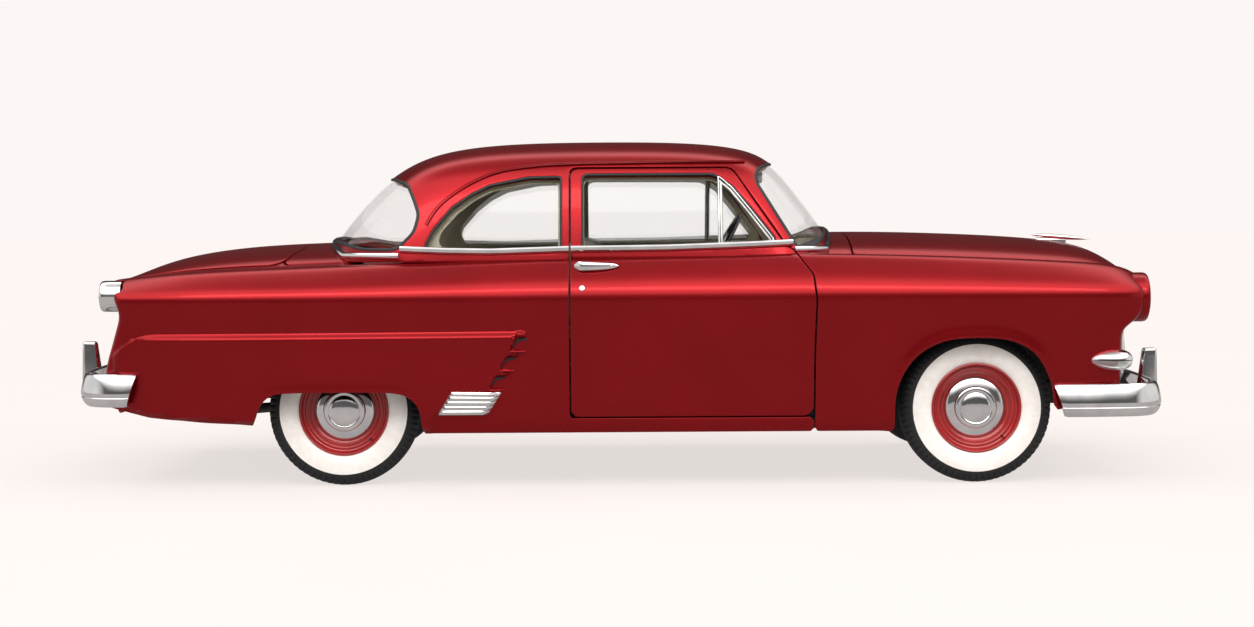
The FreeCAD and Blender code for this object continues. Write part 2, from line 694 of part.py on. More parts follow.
def make_cowl():
    """Panel between the hood and the windscreen."""
    area = plan_prism(symmetric([(760, -1), (760, -690 + 0.5), (size("hood_rear_x") - HALF_GAP, -690 + 0.5),
                                 (size("hood_rear_x") - HALF_GAP, -1)]), 950, 1300)
    return loose(FRONT_SHELL.common(area).cut(CABIN))


feature("cowl", make_cowl())

MOUTH = [(-640, 535, 80), (640, 535, 80), (640, 742, 80), (-640, 742, 80)]


def make_front_panel():
    """Panel round the grille mouth, between the fenders."""
    area = block(2100, 2500, -PANEL_SPLIT_Y + 0.5, PANEL_SPLIT_Y - 0.5, 400, HOOD_NOSE_Z - HALF_GAP)
    panel = FRONT_SHELL.common(area).cut(front_prism(MOUTH, 2000, 2600))
    at = V(2200, -size("headlamp_y"), size("headlamp_z"))
    lamp = Part.makeCylinder(size("headlamp_rim") + 0.3, 400, at, V(1, 0, 0))
    stops = [block(2384, 2396, side * 300 - 12, side * 300 + 12, 780, HOOD_NOSE_Z + HALF_GAP - 0.3)
             for side in (-1, 1)]
    return loose(panel.cut(both(lamp)).fuse(stops))


FRONT_PANEL = make_front_panel()
feature("front_panel", FRONT_PANEL)


def make_grille():
    """Mouth frame with its tall ends, floating bar, spinner and upright marks."""
    frame = nose_block(-9).cut(nose_block(12))
    inner = [(-616, 557, 62), (616, 557, 62), (616, 720, 62), (-616, 720, 62)]
    outer = [(-654, 521, 90), (654, 521, 90), (654, 756, 90), (-654, 756, 90)]
    frame = frame.common(front_prism(outer, 2200, 2600).cut(front_prism(inner, 2100, 2700)))
    bar = nose_block(-26).cut(nose_block(30)).common(
        front_prism([(-652, 606, 30), (652, 606, 30), (652, 670, 30), (-652, 670, 30)], 2200, 2600))
    hub = Part.makeCone(104, 78, 34, V(2372, 0, 638), V(1, 0, 0))
    nose = Part.makeSphere(60, V(2398, 0, 638))
    tall = [(-694, 452, 10), (-644, 452, 10), (-646, 706, 6), (-664, 706, 6), (-692, 600, 60)]
    end = nose_block(-26).cut(nose_block(20)).common(front_prism(tall, 2200, 2600))
    parts = frame.fuse([bar, hub, nose, end, mirrored(end)])
    for k in range(3):
        y = 150 + 46 * k
        mark = block(2330, 2420, y, y + 20, 566, 712).common(nose_block(-34).cut(nose_block(30)))
        parts = parts.fuse([mark, mirrored(mark)])
    return loose(parts.cut(FRONT_PANEL))


feature("grille", make_grille())


def pod(radius_x, radius_z, x, y, z, depth):
    """Flattened egg shape lying along the car."""
    ball = Part.makeSphere(100, V(0, 0, 0))
    matrix = FreeCAD.Matrix()
    matrix.scale(radius_x / 100, depth / 100, radius_z / 100)
    egg = ball.transformGeometry(matrix)
    egg.translate(V(x, y, z))
    return egg


def make_front_lenses():
    """Headlamp glasses and parking-lamp glasses."""
    at = V(2398, -size("headlamp_y"), size("headlamp_z"))
    lens = Part.makeCylinder(size("headlamp_radius") - 0.3, 20, at, V(1, 0, 0))
    dome = Part.makeSphere(180, V(2418 - 152, -size("headlamp_y"), size("headlamp_z")))
    dome = dome.common(Part.makeCylinder(size("headlamp_radius") - 0.3, 40, at + V(19, 0, 0), V(1, 0, 0)))
    lens = lens.fuse(dome)
    lamp = pod(98, 48, 2246, -880, 571, 58).cut(OUTER_FRONT)
    return both(Part.makeCompound([loose(lens), loose(lamp)]))


feature("front_lenses", make_front_lenses())


def lamp_place(x):
    """Point on the axis of the right tail lamp."""
    return V(x, -size("tail_lamp_y"), size("tail_lamp_z"))


def deck_plan(grow):
    """Plan outline of the trunk lid, grown by grow."""
    front = size("trunk_front_x") + grow
    half = [(-2600, -1), (-2600, -628 - grow), (-2240, -630 - grow), (-1900, -652 - grow),
            (front - 70, -DECK_HALF - grow, 90), (front - 10, -430, 300), (front, -1)]
    return symmetric(half)


# The raised rear fender panel in side view, and the louvres pressed into its front edge.
RAISED_PANEL = [(-412, 724, 24), (-2230, 716, 260), (-2330, 620), (-2330, 392), (-2163, 336), (-1927, 315),
                (-1600, 300), (-860, 262), (-842, 334), (-612, 336, 10), (-541, 447)]
LOUVRE_PITCH_Z = 88
LOUVRE_PITCH_X = 48


def louvre(k):
    """Side outline of louvre k, counted from the top: a slanted notch, open towards the front."""
    top = 689 - LOUVRE_PITCH_Z * k
    rear = -467 - LOUVRE_PITCH_X * k
    return [(rear, top, 9), (rear - 29, top - 58, 9), (rear + 90, top - 58), (rear + 120, top)]


def make_quarter():
    """Right rear quarter with its raised panel and the sill below the door."""
    lower = [(887, 321 - HALF_GAP), (887, 250), (-903, 250), (-903, 252), (-1690, 292), (-1927, 305),
             (-2163, 326), (-2371, 378, 60), (-2500, 420), (-2500, 1240), (-236 + HALF_GAP, 1240),
             (DOOR_REAR_X - HALF_GAP, 1068), (DOOR_REAR_X - HALF_GAP, 321 - HALF_GAP)]
    area = side_prism(lower, -1100, 0)
    shell = OUTER_FRONT.cut(INNER_FRONT).fuse(REAR_SHELL).common(area)
    shell = shell.cut(arch_prism(REAR_ARCH, -1100, -500))
    shell = shell.cut(block(-1560, -900, -DECK_HALF, 0, 200, 1300))
    shell = shell.cut(block(-2600, -2280, -DECK_HALF, 0, 200, DECK_NOSE_Z - HALF_GAP))
    lamp_hole = Part.makeCylinder(TAIL_LAMP + 0.3, 200, lamp_place(-2280), V(-1, 0, 0))
    shell = shell.cut(lamp_hole)
    shell = shell.cut(plan_prism(deck_plan(HALF_GAP), 500, 1300))
    shell = shell.cut(CABIN)
    proud = closed_hull(spline_surface(inset_lower(lower_net(), -20)))
    pad = proud.common(side_prism(RAISED_PANEL, -1100, -700)).cut(INNER_REAR)
    pad = pad.cut(arch_prism(REAR_ARCH, -1100, -500))
    pad = pad.common(tail_block(0)).cut(lamp_hole)
    for k in range(3):
        pad = pad.cut(side_prism(louvre(k), -1100, -700).cut(OUTER_REAR))
    shell = shell.fuse(pad)
    return loose(shell)


QUARTER = make_quarter()
feature("quarter_right", QUARTER)
feature("quarter_left", mirrored(QUARTER))


def make_trunk_lid():
    """Trunk lid, bent down over the tail."""
    shell = REAR_SHELL.common(plan_prism(deck_plan(-HALF_GAP), 300, 1300))
    shell = shell.cut(block(-2600, -1000, -900, 900, 200, DECK_NOSE_Z + HALF_GAP))
    shell = shell.cut(block(-2290, -1300, -900, 900, 200, 940))
    return loose(shell)


feature("trunk_lid", make_trunk_lid())


def make_tail_panel():
    """Strip below the backlight and the panel under the trunk lid."""
    inner = -DECK_HALF + 0.5
    strip = plan_prism(symmetric([(-1560, -1), (-1560, inner), (-1000, inner), (-1000, -1)]), 900, 1300)
    strip = REAR_SHELL.common(strip).cut(plan_prism(deck_plan(HALF_GAP), 500, 1300)).cut(CABIN)
    strip = strip.cut(block(-1372, -900, -1000, 1000, 800, 1300).common(block(-BIG, BIG, -BIG, -700, 0, BIG)))
    panel = REAR_SHELL.common(block(-2600, -2280, inner, -inner, 330, DECK_NOSE_Z - HALF_GAP))
    for side in (-1, 1):
        y = side * size("rail_y")
        panel = panel.cut(block(-2500, -2200, y - 24, y + 24, 436, 485))
        panel = panel.fuse(block(-2368, -2356, side * 300 - 12, side * 300 + 12, 580,
                                 DECK_NOSE_Z + HALF_GAP - 0.3))
    return loose(Part.makeCompound([strip, panel]))


feature("tail_panel", make_tail_panel())


def lamp_cone(radius, taper, x_end):
    """Turned body of the right tail lamp, ending at x_end and narrowing by taper."""
    return Part.makeCone(radius, radius - taper, -2300 - x_end, lamp_place(-2300), V(-1, 0, 0))


BEZEL = lamp_cone(TAIL_LAMP, 4, -2384).cut(Part.makeCylinder(58, 200, lamp_place(-2250), V(-1, 0, 0)))
feature("tail_lamps", both(BEZEL))
LENS_DOME = Part.makeSphere(120, lamp_place(-2286))
LENS_DOME = LENS_DOME.common(Part.makeCylinder(50, 40, lamp_place(-2370), V(-1, 0, 0)))
feature("tail_lenses", both(lamp_cone(57.7, 6, -2376).fuse(LENS_DOME)))


def offset_rail(points, out, z):
    """Smooth plan curve at height z, moved out by out from the curve through points."""
    full = [V(x, -y, 0) for x, y in points]
    full += [V(x, y, 0) for x, y in reversed(points[:-1])]
    curve = Part.BSplineCurve()
    curve.interpolate(full)
    moved = []
    for p in full:
        at = curve.parameter(p)
        tangent = curve.tangent(at)[0]
        normal = V(tangent.y, -tangent.x, 0).normalize()
        if normal.dot(p) < 0:
            normal = normal * -1
        moved.append(p + normal * out + V(0, 0, z))
    rail = Part.BSplineCurve()
    rail.interpolate(moved)
    return rail.toShape()


def bumper_bar(points, z, section):
    """Bar whose section, in distance out and height, follows the plan curve."""
    rails = [offset_rail(points, out, z + up) for out, up in section]
    faces = [Part.makeRuledSurface(rails[i - 1], rails[i]) for i in range(len(rails))]
    for end in (0, -1):
        ring = [rail.Vertexes[end].Point for rail in rails]
        middle = ring[0]
        for i in range(1, len(ring) - 1):
            faces.append(Part.Face(Part.makePolygon([middle, ring[i], ring[i + 1], middle])))
    shell = Part.Compound(faces)
    shell.sewShape()
    solid = Part.Solid(shell.Shells[0])
    if solid.Volume < 0:
        solid.reverse()
    return solid


BAR_SECTION = [(-6, 77), (14, 66), (26, 26), (32, -12), (22, -46), (-4, -76),
               (-14, -70), (8, -12), (2, 26), (-14, 70)]
FRONT_BAR = [(1950, 920), (2090, 919), (2230, 914), (2380, 889), (2462, 806), (2492, 640),
             (2500, 400), (2502, 0)]
REAR_BAR = [(-2160, 904), (-2350, 892), (-2444, 826), (-2478, 650), (-2484, 320), (-2486, 0)]
# Side outlines of what the slanted ends of the bars leave out.
FRONT_BAR_CUT = [(1850, 250), (2051, 250), (1957, 520), (1850, 520)]
REAR_BAR_CUT = [(-2100, 300), (-2271, 300), (-2166, 600), (-2100, 600)]


def guard(y, z0, z1, facing):
    """Upright over-rider on a bumper: wide at the foot, its inner face leaning out, its top rounded."""
    def ring(x_in, x_out, half_in, half_out, z):
        """Rounded outline of the guard at one height."""
        at = [(x_in, -half_in, 20), (x_out, -half_out, 16), (x_out, half_out, 16), (x_in, half_in, 20)]
        return outline(at, lambda p, q: V(facing * p, y + q, z)).OuterWire
    solid = Part.makeLoft([ring(2466, 2571, 38, 28, z0), ring(2500, 2566, 29, 21, z1)], True)
    return solid.makeFillet(7, [e for e in solid.Edges if e.BoundBox.ZMin > z1 - 0.5])


def iron(x0, x1, side, z):
    """Iron that carries a bumper from the end of a frame rail."""
    y = side * size("rail_y")
    return block(x0, x1, y - 20, y + 20, z, z + 41)


def make_front_bumper():
    """Front bumper bar with two guards and its irons."""
    bar = bumper_bar(FRONT_BAR, size("front_bumper_z"), BAR_SECTION)
    bar = bar.cut(side_prism(FRONT_BAR_CUT, -1100, 1100))
    guards = [guard(side * size("guard_y"), 318, 590, 1) for side in (-1, 1)]
    irons = [iron(2250, 2496, side, 330) for side in (-1, 1)]
    return loose(bar.fuse(guards + irons))


def make_rear_bumper():
    """Rear bumper bar with two guards and its irons."""
    bar = bumper_bar(REAR_BAR, size("rear_bumper_z"), BAR_SECTION)
    bar = bar.cut(side_prism(REAR_BAR_CUT, -1100, 1100))
    guards = [guard(side * size("guard_y"), 392, 648, -1) for side in (-1, 1)]
    irons = [iron(-2484, -2230.3, side, 440) for side in (-1, 1)]
    return loose(bar.fuse(guards + irons))


feature("front_bumper", make_front_bumper())
feature("rear_bumper", make_rear_bumper())


def column_point(distance):
    """A point on the steering column's line, forward of the steering wheel."""
    rake = math.radians(size("column_rake"))
    at = V(size("steering_x"), size("steering_y"), size("steering_z"))
    return at + V(math.cos(rake), 0, -math.sin(rake)) * distance


RAIL_LOW = [(-2200, 430), (-1080, 430, 60), (-900, 285, 60), (1100, 285, 200), (1300, 330, 200), (2250, 330)]


def make_frame():
    """Two boxed rails with kick-ups over the rear axle, and their cross members."""
    top = [(p[0], p[1] + size("rail_height")) + tuple(p[2:]) for p in RAIL_LOW]
    half = size("rail_width") / 2
    rail = side_prism(RAIL_LOW + list(reversed(top)), -size("rail_y") - half, -size("rail_y") + half)
    members = [both(rail)]
    for x, z in ((-2190, 450), (-1750, 450), (-700, 252), (300, 252), (940, 252), (2120, 340)):
        members.append(block(x - 40, x + 40, -size("rail_y"), size("rail_y"), z, z + 56))
    whole = rail.fuse([mirrored(rail)] + members[1:])
    for x in (-2210, -2170):
        for y in (-150, 150):
            whole = whole.cut(Part.makeCylinder(6.5, 200, V(x, y, 400), V(0, 0, 1)))
    return loose(whole)


feature("frame", make_frame())


def make_floor():
    """Floor, tunnel, sills, firewall, wheel houses and trunk floor."""
    floor = block(-776, 1078, -834, 834, 395, 412)
    tunnel = block(-759.7, 1059.7, -110, 110, 412.3, 500).cut(block(-790, 1090, -92, 92, 300, 482))
    floor = floor.cut(block(-790, 1090, -92, 92, 300, 420))
    heel = block(-776, -760, -834, 834, 395, 546).cut(block(-790, -750, -92, 92, 300, 482))
    shelf = block(-1640, -760, -560, 560, 532, 546)
    corner = block(-860, -760, -834, -560, 532, 546)
    step = block(-1640, -1625, -560, 560, 532, 616)
    trunk = block(-2290, -1625, -560, 560, 600, 616)
    firewall = block(1060, 1078, -700, 700, 395, 1300).common(INNER_FRONT)
    firewall = firewall.cut(Part.makeCylinder(size("column_radius") + 2, 900, column_point(100),
                                              column_point(200) - column_point(100)))
    firewall = firewall.cut(block(1000, 1100, -92, 92, 300, 482))
    sill = block(-880, 1180, -834, -760, 270, 412).fuse(block(-880, 1180, -862, -760, 270, 312))
    post = block(905, 960, -850, -780, 395, 960)
    hinges = [block(884.8, 960, -874, -800, z, z + 40) for z in (440, 560)]
    wheel_axis = V(REAR_X, -864, TYRE_R)
    house = Part.makeCylinder(430, 304, wheel_axis, V(0, 1, 0))
    house = house.cut(Part.makeCylinder(412, 288, wheel_axis, V(0, 1, 0)))
    house = house.common(block(-1800, -800, -900, 0, 420, 900))
    extra = block(-2290, -1625, -800, -560, 600, 616).cut(Part.makeCylinder(412, 288, wheel_axis, V(0, 1, 0)))
    side = [sill, house, extra, corner, post] + hinges
    whole = floor.fuse([heel, shelf, step, trunk, firewall] + side + [mirrored(s) for s in side])
    return Part.makeCompound([loose(whole), tunnel])


feature("floor_pan", make_floor())


def turned(obj, axis, degrees):
    """Turns a primitive about its own corner."""
    obj.Placement = FreeCAD.Placement(obj.Placement.Base, FreeCAD.Rotation(axis, degrees))
    return obj


def make_engine():
    """Engine as one plain block with its gearbox, fan and radiator."""
    engine = bound("Part::Box", "EngineBlock", Length="Sizes.engine_length", Width="Sizes.engine_width",
                   Height="Sizes.engine_height", _at_x="1260", _at_y="-Sizes.engine_width / 2", _at_z="420")
    gearbox = turned(bound("Part::Cylinder", "Gearbox", Radius="75", Height="640"), V(0, 1, 0), 90)
    gearbox.setExpression("Placement.Base.x", "640")
    gearbox.setExpression("Placement.Base.z", "404")
    fan_shaft = turned(bound("Part::Cylinder", "FanShaft", Radius="30", Height="120"), V(0, 1, 0), 90)
    fan_shaft.setExpression("Placement.Base.x", "1970")
    fan_shaft.setExpression("Placement.Base.z", "760")
    radiator = bound("Part::Box", "Radiator", Length="Sizes.radiator_depth", Width="Sizes.radiator_width",
                     Height="Sizes.radiator_height", _at_x="2085", _at_y="-Sizes.radiator_width / 2",
                     _at_z="430")
    mounts = [bound("Part::Box", "EngineMount" + name, Length="80", Width="130", Height="45", _at_x="1490",
                    _at_y=text, _at_z="430.3") for name, text in (("Right", "-400"), ("Left", "270"))]
    return fused("engine", [engine, gearbox, fan_shaft, radiator] + mounts)


make_engine()


def make_rear_axle():
    """Rear axle with its differential, drive shaft and leaf springs."""
    tube = turned(bound("Part::Cylinder", "AxleTube", Radius="Sizes.axle_tube", Height="1270"),
                  V(1, 0, 0), 90)
    tube.setExpression("Placement.Base.x", "Sizes.front_wheel_x - Sizes.wheelbase")
    tube.setExpression("Placement.Base.y", "635")
    tube.setExpression("Placement.Base.z", "Sizes.tyre_radius")
    ends = turned(bound("Part::Cylinder", "AxleEnds", Radius="Sizes.spindle_radius", Height="1477.4"),
                  V(1, 0, 0), 90)
    ends.setExpression("Placement.Base.x", "Sizes.front_wheel_x - Sizes.wheelbase")
    ends.setExpression("Placement.Base.y", "738.7")
    ends.setExpression("Placement.Base.z", "Sizes.tyre_radius")
    ball = bound("Part::Sphere", "Differential", Radius="145")
    ball.setExpression("Placement.Base.x", "Sizes.front_wheel_x - Sizes.wheelbase")
    ball.setExpression("Placement.Base.z", "Sizes.tyre_radius")
    shaft = turned(bound("Part::Cylinder", "DriveShaft", Radius="38", Height="1818"), V(0, 1, 0), 88.2)
    shaft.setExpression("Placement.Base.x", "-1180")
    shaft.setExpression("Placement.Base.z", "348")
    parts = [tube, ends, ball, shaft]
    for side in (-1, 1):
        name = "Left" if side > 0 else "Right"
        spring = bound("Part::Box", "Spring" + name, Length="1100", Width="50", Height="32", _at_x="-1890",
                       _at_y=str(side * 505 - 25), _at_z="Sizes.tyre_radius + Sizes.axle_tube - 2")
        front = bound("Part::Box", "SpringEye" + name, Length="50", Width="105", Height="70", _at_x="-840",
                      _at_y=str(side * 477.5 - 52.5), _at_z="330")
        rear = bound("Part::Box", "Shackle" + name, Length="40", Width="105", Height="130", _at_x="-1900",
                     _at_y=str(side * 477.5 - 52.5), _at_z="386")
        parts += [spring, front, rear]
    return fused("rear_axle", parts)


make_rear_axle()


def make_front_suspension():
    """Front cross member with its control arms and the kingpins they hold."""
    beam = block(1570, 1716, -460, 460, 262, 330)
    parts = [beam]
    for side in (-1, 1):
        y0 = 440
        y1 = size("kingpin_y")
        for z in (232, 470):
            arm = plan_prism([(FRONT_X - 110, side * y0), (FRONT_X - 24, side * (y1 + 4)),
                              (FRONT_X + 24, side * (y1 + 4)), (FRONT_X + 110, side * y0)], z, z + 22)
            parts.append(arm)
        parts.append(block(FRONT_X - 70, FRONT_X + 70, side * 442.5 - 17.5, side * 442.5 + 17.5, 232, 492))
        pin = Part.makeCylinder(14, 260, V(FRONT_X, side * y1, 232), V(0, 0, 1))
        parts.append(pin)
    whole = parts[0].fuse(parts[1:])
    return loose(whole)


feature("front_suspension", make_front_suspension())


def make_knuckle(side):
    """Steering knuckle: bored upright, spindle and backing plate."""
    y1 = size("kingpin_y")
    upright = Part.makeCylinder(26, 206, V(FRONT_X, side * y1, 259), V(0, 0, 1))
    plate = Part.makeCylinder(142, 6, V(FRONT_X, side * (y1 + 27), TYRE_R), V(0, side, 0))
    neck = Part.makeCylinder(34, 34, V(FRONT_X, side * (y1 + 4), TYRE_R), V(0, side, 0))
    spindle = Part.makeCylinder(size("spindle_radius"), 130, V(FRONT_X, side * (y1 + 4), TYRE_R),
                                V(0, side, 0))
    whole = upright.fuse([plate, neck, spindle])
    return loose(whole.cut(Part.makeCylinder(14.4, 300, V(FRONT_X, side * y1, 220), V(0, 0, 1))))


feature("knuckle_right", make_knuckle(-1))
feature("knuckle_left", make_knuckle(1))


def ring_body(name, profile, x_text, y_text, side):
    """Revolved body about a wheel axis; profile holds radius and offset outwards as formulas."""
    body = DOC.addObject("PartDesign::Body", name)
    sketch = body.newObject("Sketcher::SketchObject", name + "Profile")
    plane = [f for f in body.Origin.OriginFeatures if f.Role == "XY_Plane"][0]
    sketch.AttachmentSupport = [(plane, "")]
    sketch.MapMode = "FlatFace"
    count = len(profile)
    values = []
    for radius_text, offset_text in profile:
        values.append((evaluate(radius_text), evaluate(offset_text)))
    for i in range(count):
        a = values[i]
        b = values[(i + 1) % count]
        sketch.addGeometry(Part.LineSegment(V(a[0], a[1], 0), V(b[0], b[1], 0)), False)
    for i in range(count):
        sketch.addConstraint(Sketcher.Constraint("Coincident", i, 2, (i + 1) % count, 1))
    for i, (radius_text, offset_text) in enumerate(profile):
        if radius_text == "0":
            sketch.addConstraint(Sketcher.Constraint("PointOnObject", i, 1, -2))
        else:
            index = sketch.addConstraint(Sketcher.Constraint("DistanceX", -1, 1, i, 1, values[i][0]))
            sketch.setExpression("Constraints[%d]" % index, radius_text)
        index = sketch.addConstraint(Sketcher.Constraint("DistanceY", -1, 1, i, 1, values[i][1]))
        sketch.setExpression("Constraints[%d]" % index, offset_text)
    turn = body.newObject("PartDesign::Revolution", name + "Turn")
    turn.Profile = sketch
    turn.ReferenceAxis = (sketch, ["V_Axis"])
    turn.Angle = 360
    body.Placement = FreeCAD.Placement(V(0, 0, 0), FreeCAD.Rotation(V(0, 0, 1), 0 if side > 0 else 180))
    body.setExpression("Placement.Base.x", x_text)
    body.setExpression("Placement.Base.y", y_text)
    body.setExpression("Placement.Base.z", "Sizes.tyre_radius")
    return node(body, name)


def evaluate(text):
    """Number behind a formula of the sheet's aliases."""
    words = text.replace("Sizes.", "")
    total = 0.0
    sign = 1
    for word in words.replace("- ", "-|").replace("+ ", "+|").split():
        if word == "/":
            raise ValueError(text)
        if word.startswith("+|") or word.startswith("-|"):
            sign = 1 if word[0] == "+" else -1
            word = word[2:]
        total += sign * (size(word) if word[0].isalpha() else float(word))
        sign = 1
    return total


# Offsets run outwards from a plane 120 mm inside the middle plane of the wheel.
MID = 120
RIM = "Sizes.rim_radius"
TREAD = "Sizes.tyre_radius"
BORE = "Sizes.spindle_radius + Sizes.bore_clearance"
TYRE_PROFILE = [(RIM + " + 0.2", "64"), (RIM + " + 10", "46"), (RIM + " + 52", "30"), (TREAD + " - 46", "34"),
                (TREAD + " - 10", "50"), (TREAD, "72"), (TREAD, "168"), (TREAD + " - 10", "190"),
                (TREAD + " - 46", "206"), (RIM + " + 52", "210"), (RIM + " + 10", "194"),
                (RIM + " + 0.2", "176")]
WHEEL_PROFILE = [("0", "186"), ("60", "184"), ("92", "176"), ("98", "170"), ("124", "164"),
                 ("Sizes.hubcap_radius", "148"), ("146", "140"), ("160", "146"), ("166", "156"),
                 ("180", "160"), ("186", "172"), ("204", "197"), ("207", "196.5"), ("206.2", "194.8"),
                 (RIM, "176.2"), (RIM, "63.8"), ("206.2", "45.2"), ("207", "43.5"), ("204", "43"),
                 ("186", "58"), ("182", "120"), ("150", "134"), ("80", "130"), ("60", "122"),
                 (BORE, "122"), (BORE, "148"), ("0", "148")]


def make_wheels():
    """Four tyres and four wheels, with the front pair at the front track."""
    places = [("front_right", "Sizes.front_wheel_x", "front_wheel_y", -1),
              ("front_left", "Sizes.front_wheel_x", "front_wheel_y", 1),
              ("rear_right", "Sizes.front_wheel_x - Sizes.wheelbase", "rear_wheel_y", -1),
              ("rear_left", "Sizes.front_wheel_x - Sizes.wheelbase", "rear_wheel_y", 1)]
    for place, x_text, track, side in places:
        sign = "" if side > 0 else "-"
        y_text = "%s(Sizes.%s - %d)" % (sign, track, MID)
        ring_body("tyre_" + place, TYRE_PROFILE, x_text, y_text, side)
        ring_body("wheel_" + place, WHEEL_PROFILE, x_text, y_text, side)


make_wheels()


def make_exhaust():
    """Exhaust pipe from the engine to the tail, with its silencer."""
    path = Part.makePolygon([V(1320, -240, 395), V(1050, -250, 222), V(-760, -250, 222),
                             V(-1010, -260, 480), V(-1540, -260, 480), V(-1660, -260, 320),
                             V(-1780, -480, 330), V(-2190, -480, 335)])
    pipe = None
    for edge in path.Edges:
        a = edge.Vertexes[0].Point
        b = edge.Vertexes[1].Point
        run = Part.makeCylinder(size("exhaust_radius"), (b - a).Length, a, b - a)
        run = run.fuse(Part.makeSphere(size("exhaust_radius"), b))
        pipe = run if pipe is None else pipe.fuse(run)
    oval = Part.Ellipse(V(-420, -170, 228), V(-420, -250, 264), V(-420, -250, 228)).toShape()
    flange = Part.makeCylinder(size("exhaust_radius"), 24.7, V(1320, -240, 395), V(0, 0, 1))
    silencer = Part.Face(Part.Wire([oval])).extrude(V(620, 0, 0))
    return loose(pipe.fuse([silencer, flange]))


feature("exhaust", make_exhaust())


def make_tank():
    """Fuel tank under the trunk floor."""
    tank = side_prism([(-2135, 340, 40), (-1805, 340, 40), (-1805, 570, 40), (-2135, 570, 40)], -300, 300)
    straps = block(-2143, -1797, -200, -170, 332, 600).fuse(block(-2143, -1797, 170, 200, 332, 600))
    return loose(tank.fuse(straps))


feature("fuel_tank", make_tank())


def make_front_seat():
    """Front bench with its back."""
    half = 660
    cushion = side_prism([(-130, 540, 30), (-60, 412), (300, 412), (350, 540, 40), (345, 690, 60),
                          (-120, 660, 20)], -half, half)
    back = side_prism([(-170, 560, 40), (-60, 560, 20), (-62, 690, 60), (-80, 1080, 40), (-120, 1140, 30),
                       (-255, 1140, 40), (-290, 1060, 60), (-260, 760)], -half, half)
    return loose(cushion.fuse(back).cut(block(-400, 500, -112, 112, 400, 501)))


def make_rear_seat():
    """Rear bench between the wheel houses."""
    half = 555
    cushion = side_prism([(-1000, 546.3), (-600, 546.3), (-590, 600, 20), (-600, 675, 60), (-1000, 650)],
                         -half, half)
    back = side_prism([(-1000, 600), (-900, 640, 30), (-980, 820, 60), (-1090, 1075, 50), (-1180, 1075, 30),
                       (-1165, 546.3), (-1000, 546.3)], -half, half)
    return loose(cushion.fuse(back))


feature("front_seat", make_front_seat())
feature("rear_seat", make_rear_seat())


def make_dashboard():
    """Dashboard with a raised instrument hood ahead of the driver, and the shelf behind the rear seat."""
    face = side_prism([(800, 1030, 30), (770, 880, 30), (800, 810, 20), (1058, 880), (1058, 1140),
                       (860, 1090, 40)], -695, 695)
    inner = side_prism([(840, 1000), (820, 890), (840, 850), (1040, 900), (1040, 1060), (900, 1060)],
                       -665, 665)
    hood = side_prism([(738, 1040, 20), (760, 950, 20), (860, 950), (860, 1100), (790, 1088, 30)], 240, 520)
    room = INNER_FRONT.fuse(CABIN.common(UPPER_INNER))
    shape = face.cut(inner).fuse(hood).common(room)
    along_column = column_point(200) - column_point(100)
    shape = shape.cut(Part.makeCylinder(size("column_radius") + 1, 900, column_point(26), along_column))
    return loose(shape)


feature("dashboard", make_dashboard())


def make_steering_column():
    """Column from the firewall to the steering wheel, with its shift lever."""
    start = column_point(26.3)
    column = Part.makeCylinder(size("column_radius"), 1058, start, column_point(100) - start)
    gear = block(1390, 1480, 345, 425, 430.3, 520)
    lever = Part.makeCylinder(5, 190, column_point(110), V(0.1, -1, 0.35))
    knob = Part.makeSphere(13, column_point(110) + V(0.1, -1, 0.35).normalize() * 190)
    return loose(column.fuse([lever, knob, gear]))


feature("steering_column", make_steering_column())


def make_steering_wheel():
    """Rim, two spokes and hub."""
    axis = column_point(100) - column_point(0)
    rim = Part.makeTorus(size("steering_wheel_radius"), size("steering_grip"), column_point(0), axis)
    hub = Part.makeCylinder(38, 44, column_point(-18), axis)
    parts = [rim, hub]
    for side in (-1, 1):
        parts.append(Part.makeCylinder(8, size("steering_wheel_radius") - 4, column_point(0), V(0, side, 0)))
    return loose(parts[0].fuse(parts[1:]))


feature("steering_wheel", make_steering_wheel())

DOC.recompute()
FAILED = [o.Name for o in DOC.Objects if "Invalid" in o.State or "Error" in o.State]
for obj in NODES:
    if obj.Shape.isNull() or not obj.Shape.isValid():
        FAILED.append(obj.Label)
if FAILED:
    raise RuntimeError("failed objects: %s" % ", ".join(FAILED))
os.makedirs("parts", exist_ok=True)
for obj in NODES:
    obj.Shape.exportStep(os.path.join("parts", obj.Label + ".step"))
print(len(NODES), "nodes")
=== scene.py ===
import bpy
import math
import numpy as np
from mathutils import Matrix, Vector


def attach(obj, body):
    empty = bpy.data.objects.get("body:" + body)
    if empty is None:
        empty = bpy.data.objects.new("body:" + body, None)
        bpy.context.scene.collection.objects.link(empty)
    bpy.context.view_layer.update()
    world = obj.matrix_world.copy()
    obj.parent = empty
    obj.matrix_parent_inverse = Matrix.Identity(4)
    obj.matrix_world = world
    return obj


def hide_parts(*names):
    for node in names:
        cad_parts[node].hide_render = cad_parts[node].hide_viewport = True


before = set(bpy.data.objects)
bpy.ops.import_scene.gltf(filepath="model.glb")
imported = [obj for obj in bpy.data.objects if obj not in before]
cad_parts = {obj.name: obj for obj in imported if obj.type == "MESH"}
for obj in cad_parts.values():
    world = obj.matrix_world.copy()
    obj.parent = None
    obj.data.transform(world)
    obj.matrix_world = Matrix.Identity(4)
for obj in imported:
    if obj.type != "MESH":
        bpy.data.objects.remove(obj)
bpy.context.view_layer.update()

# Values shared with the part's source, in millimetres.
HALF_WIDTH = 943.5
SHOULDER = 870
ROOF_TOP = 1592
GREENHOUSE_FOOT = 1030
FRONT_X = 1642
REAR_X = -1279
TYRE_R = 348
HALF_GAP = 3.5
EDGE_ROUND = 2.5
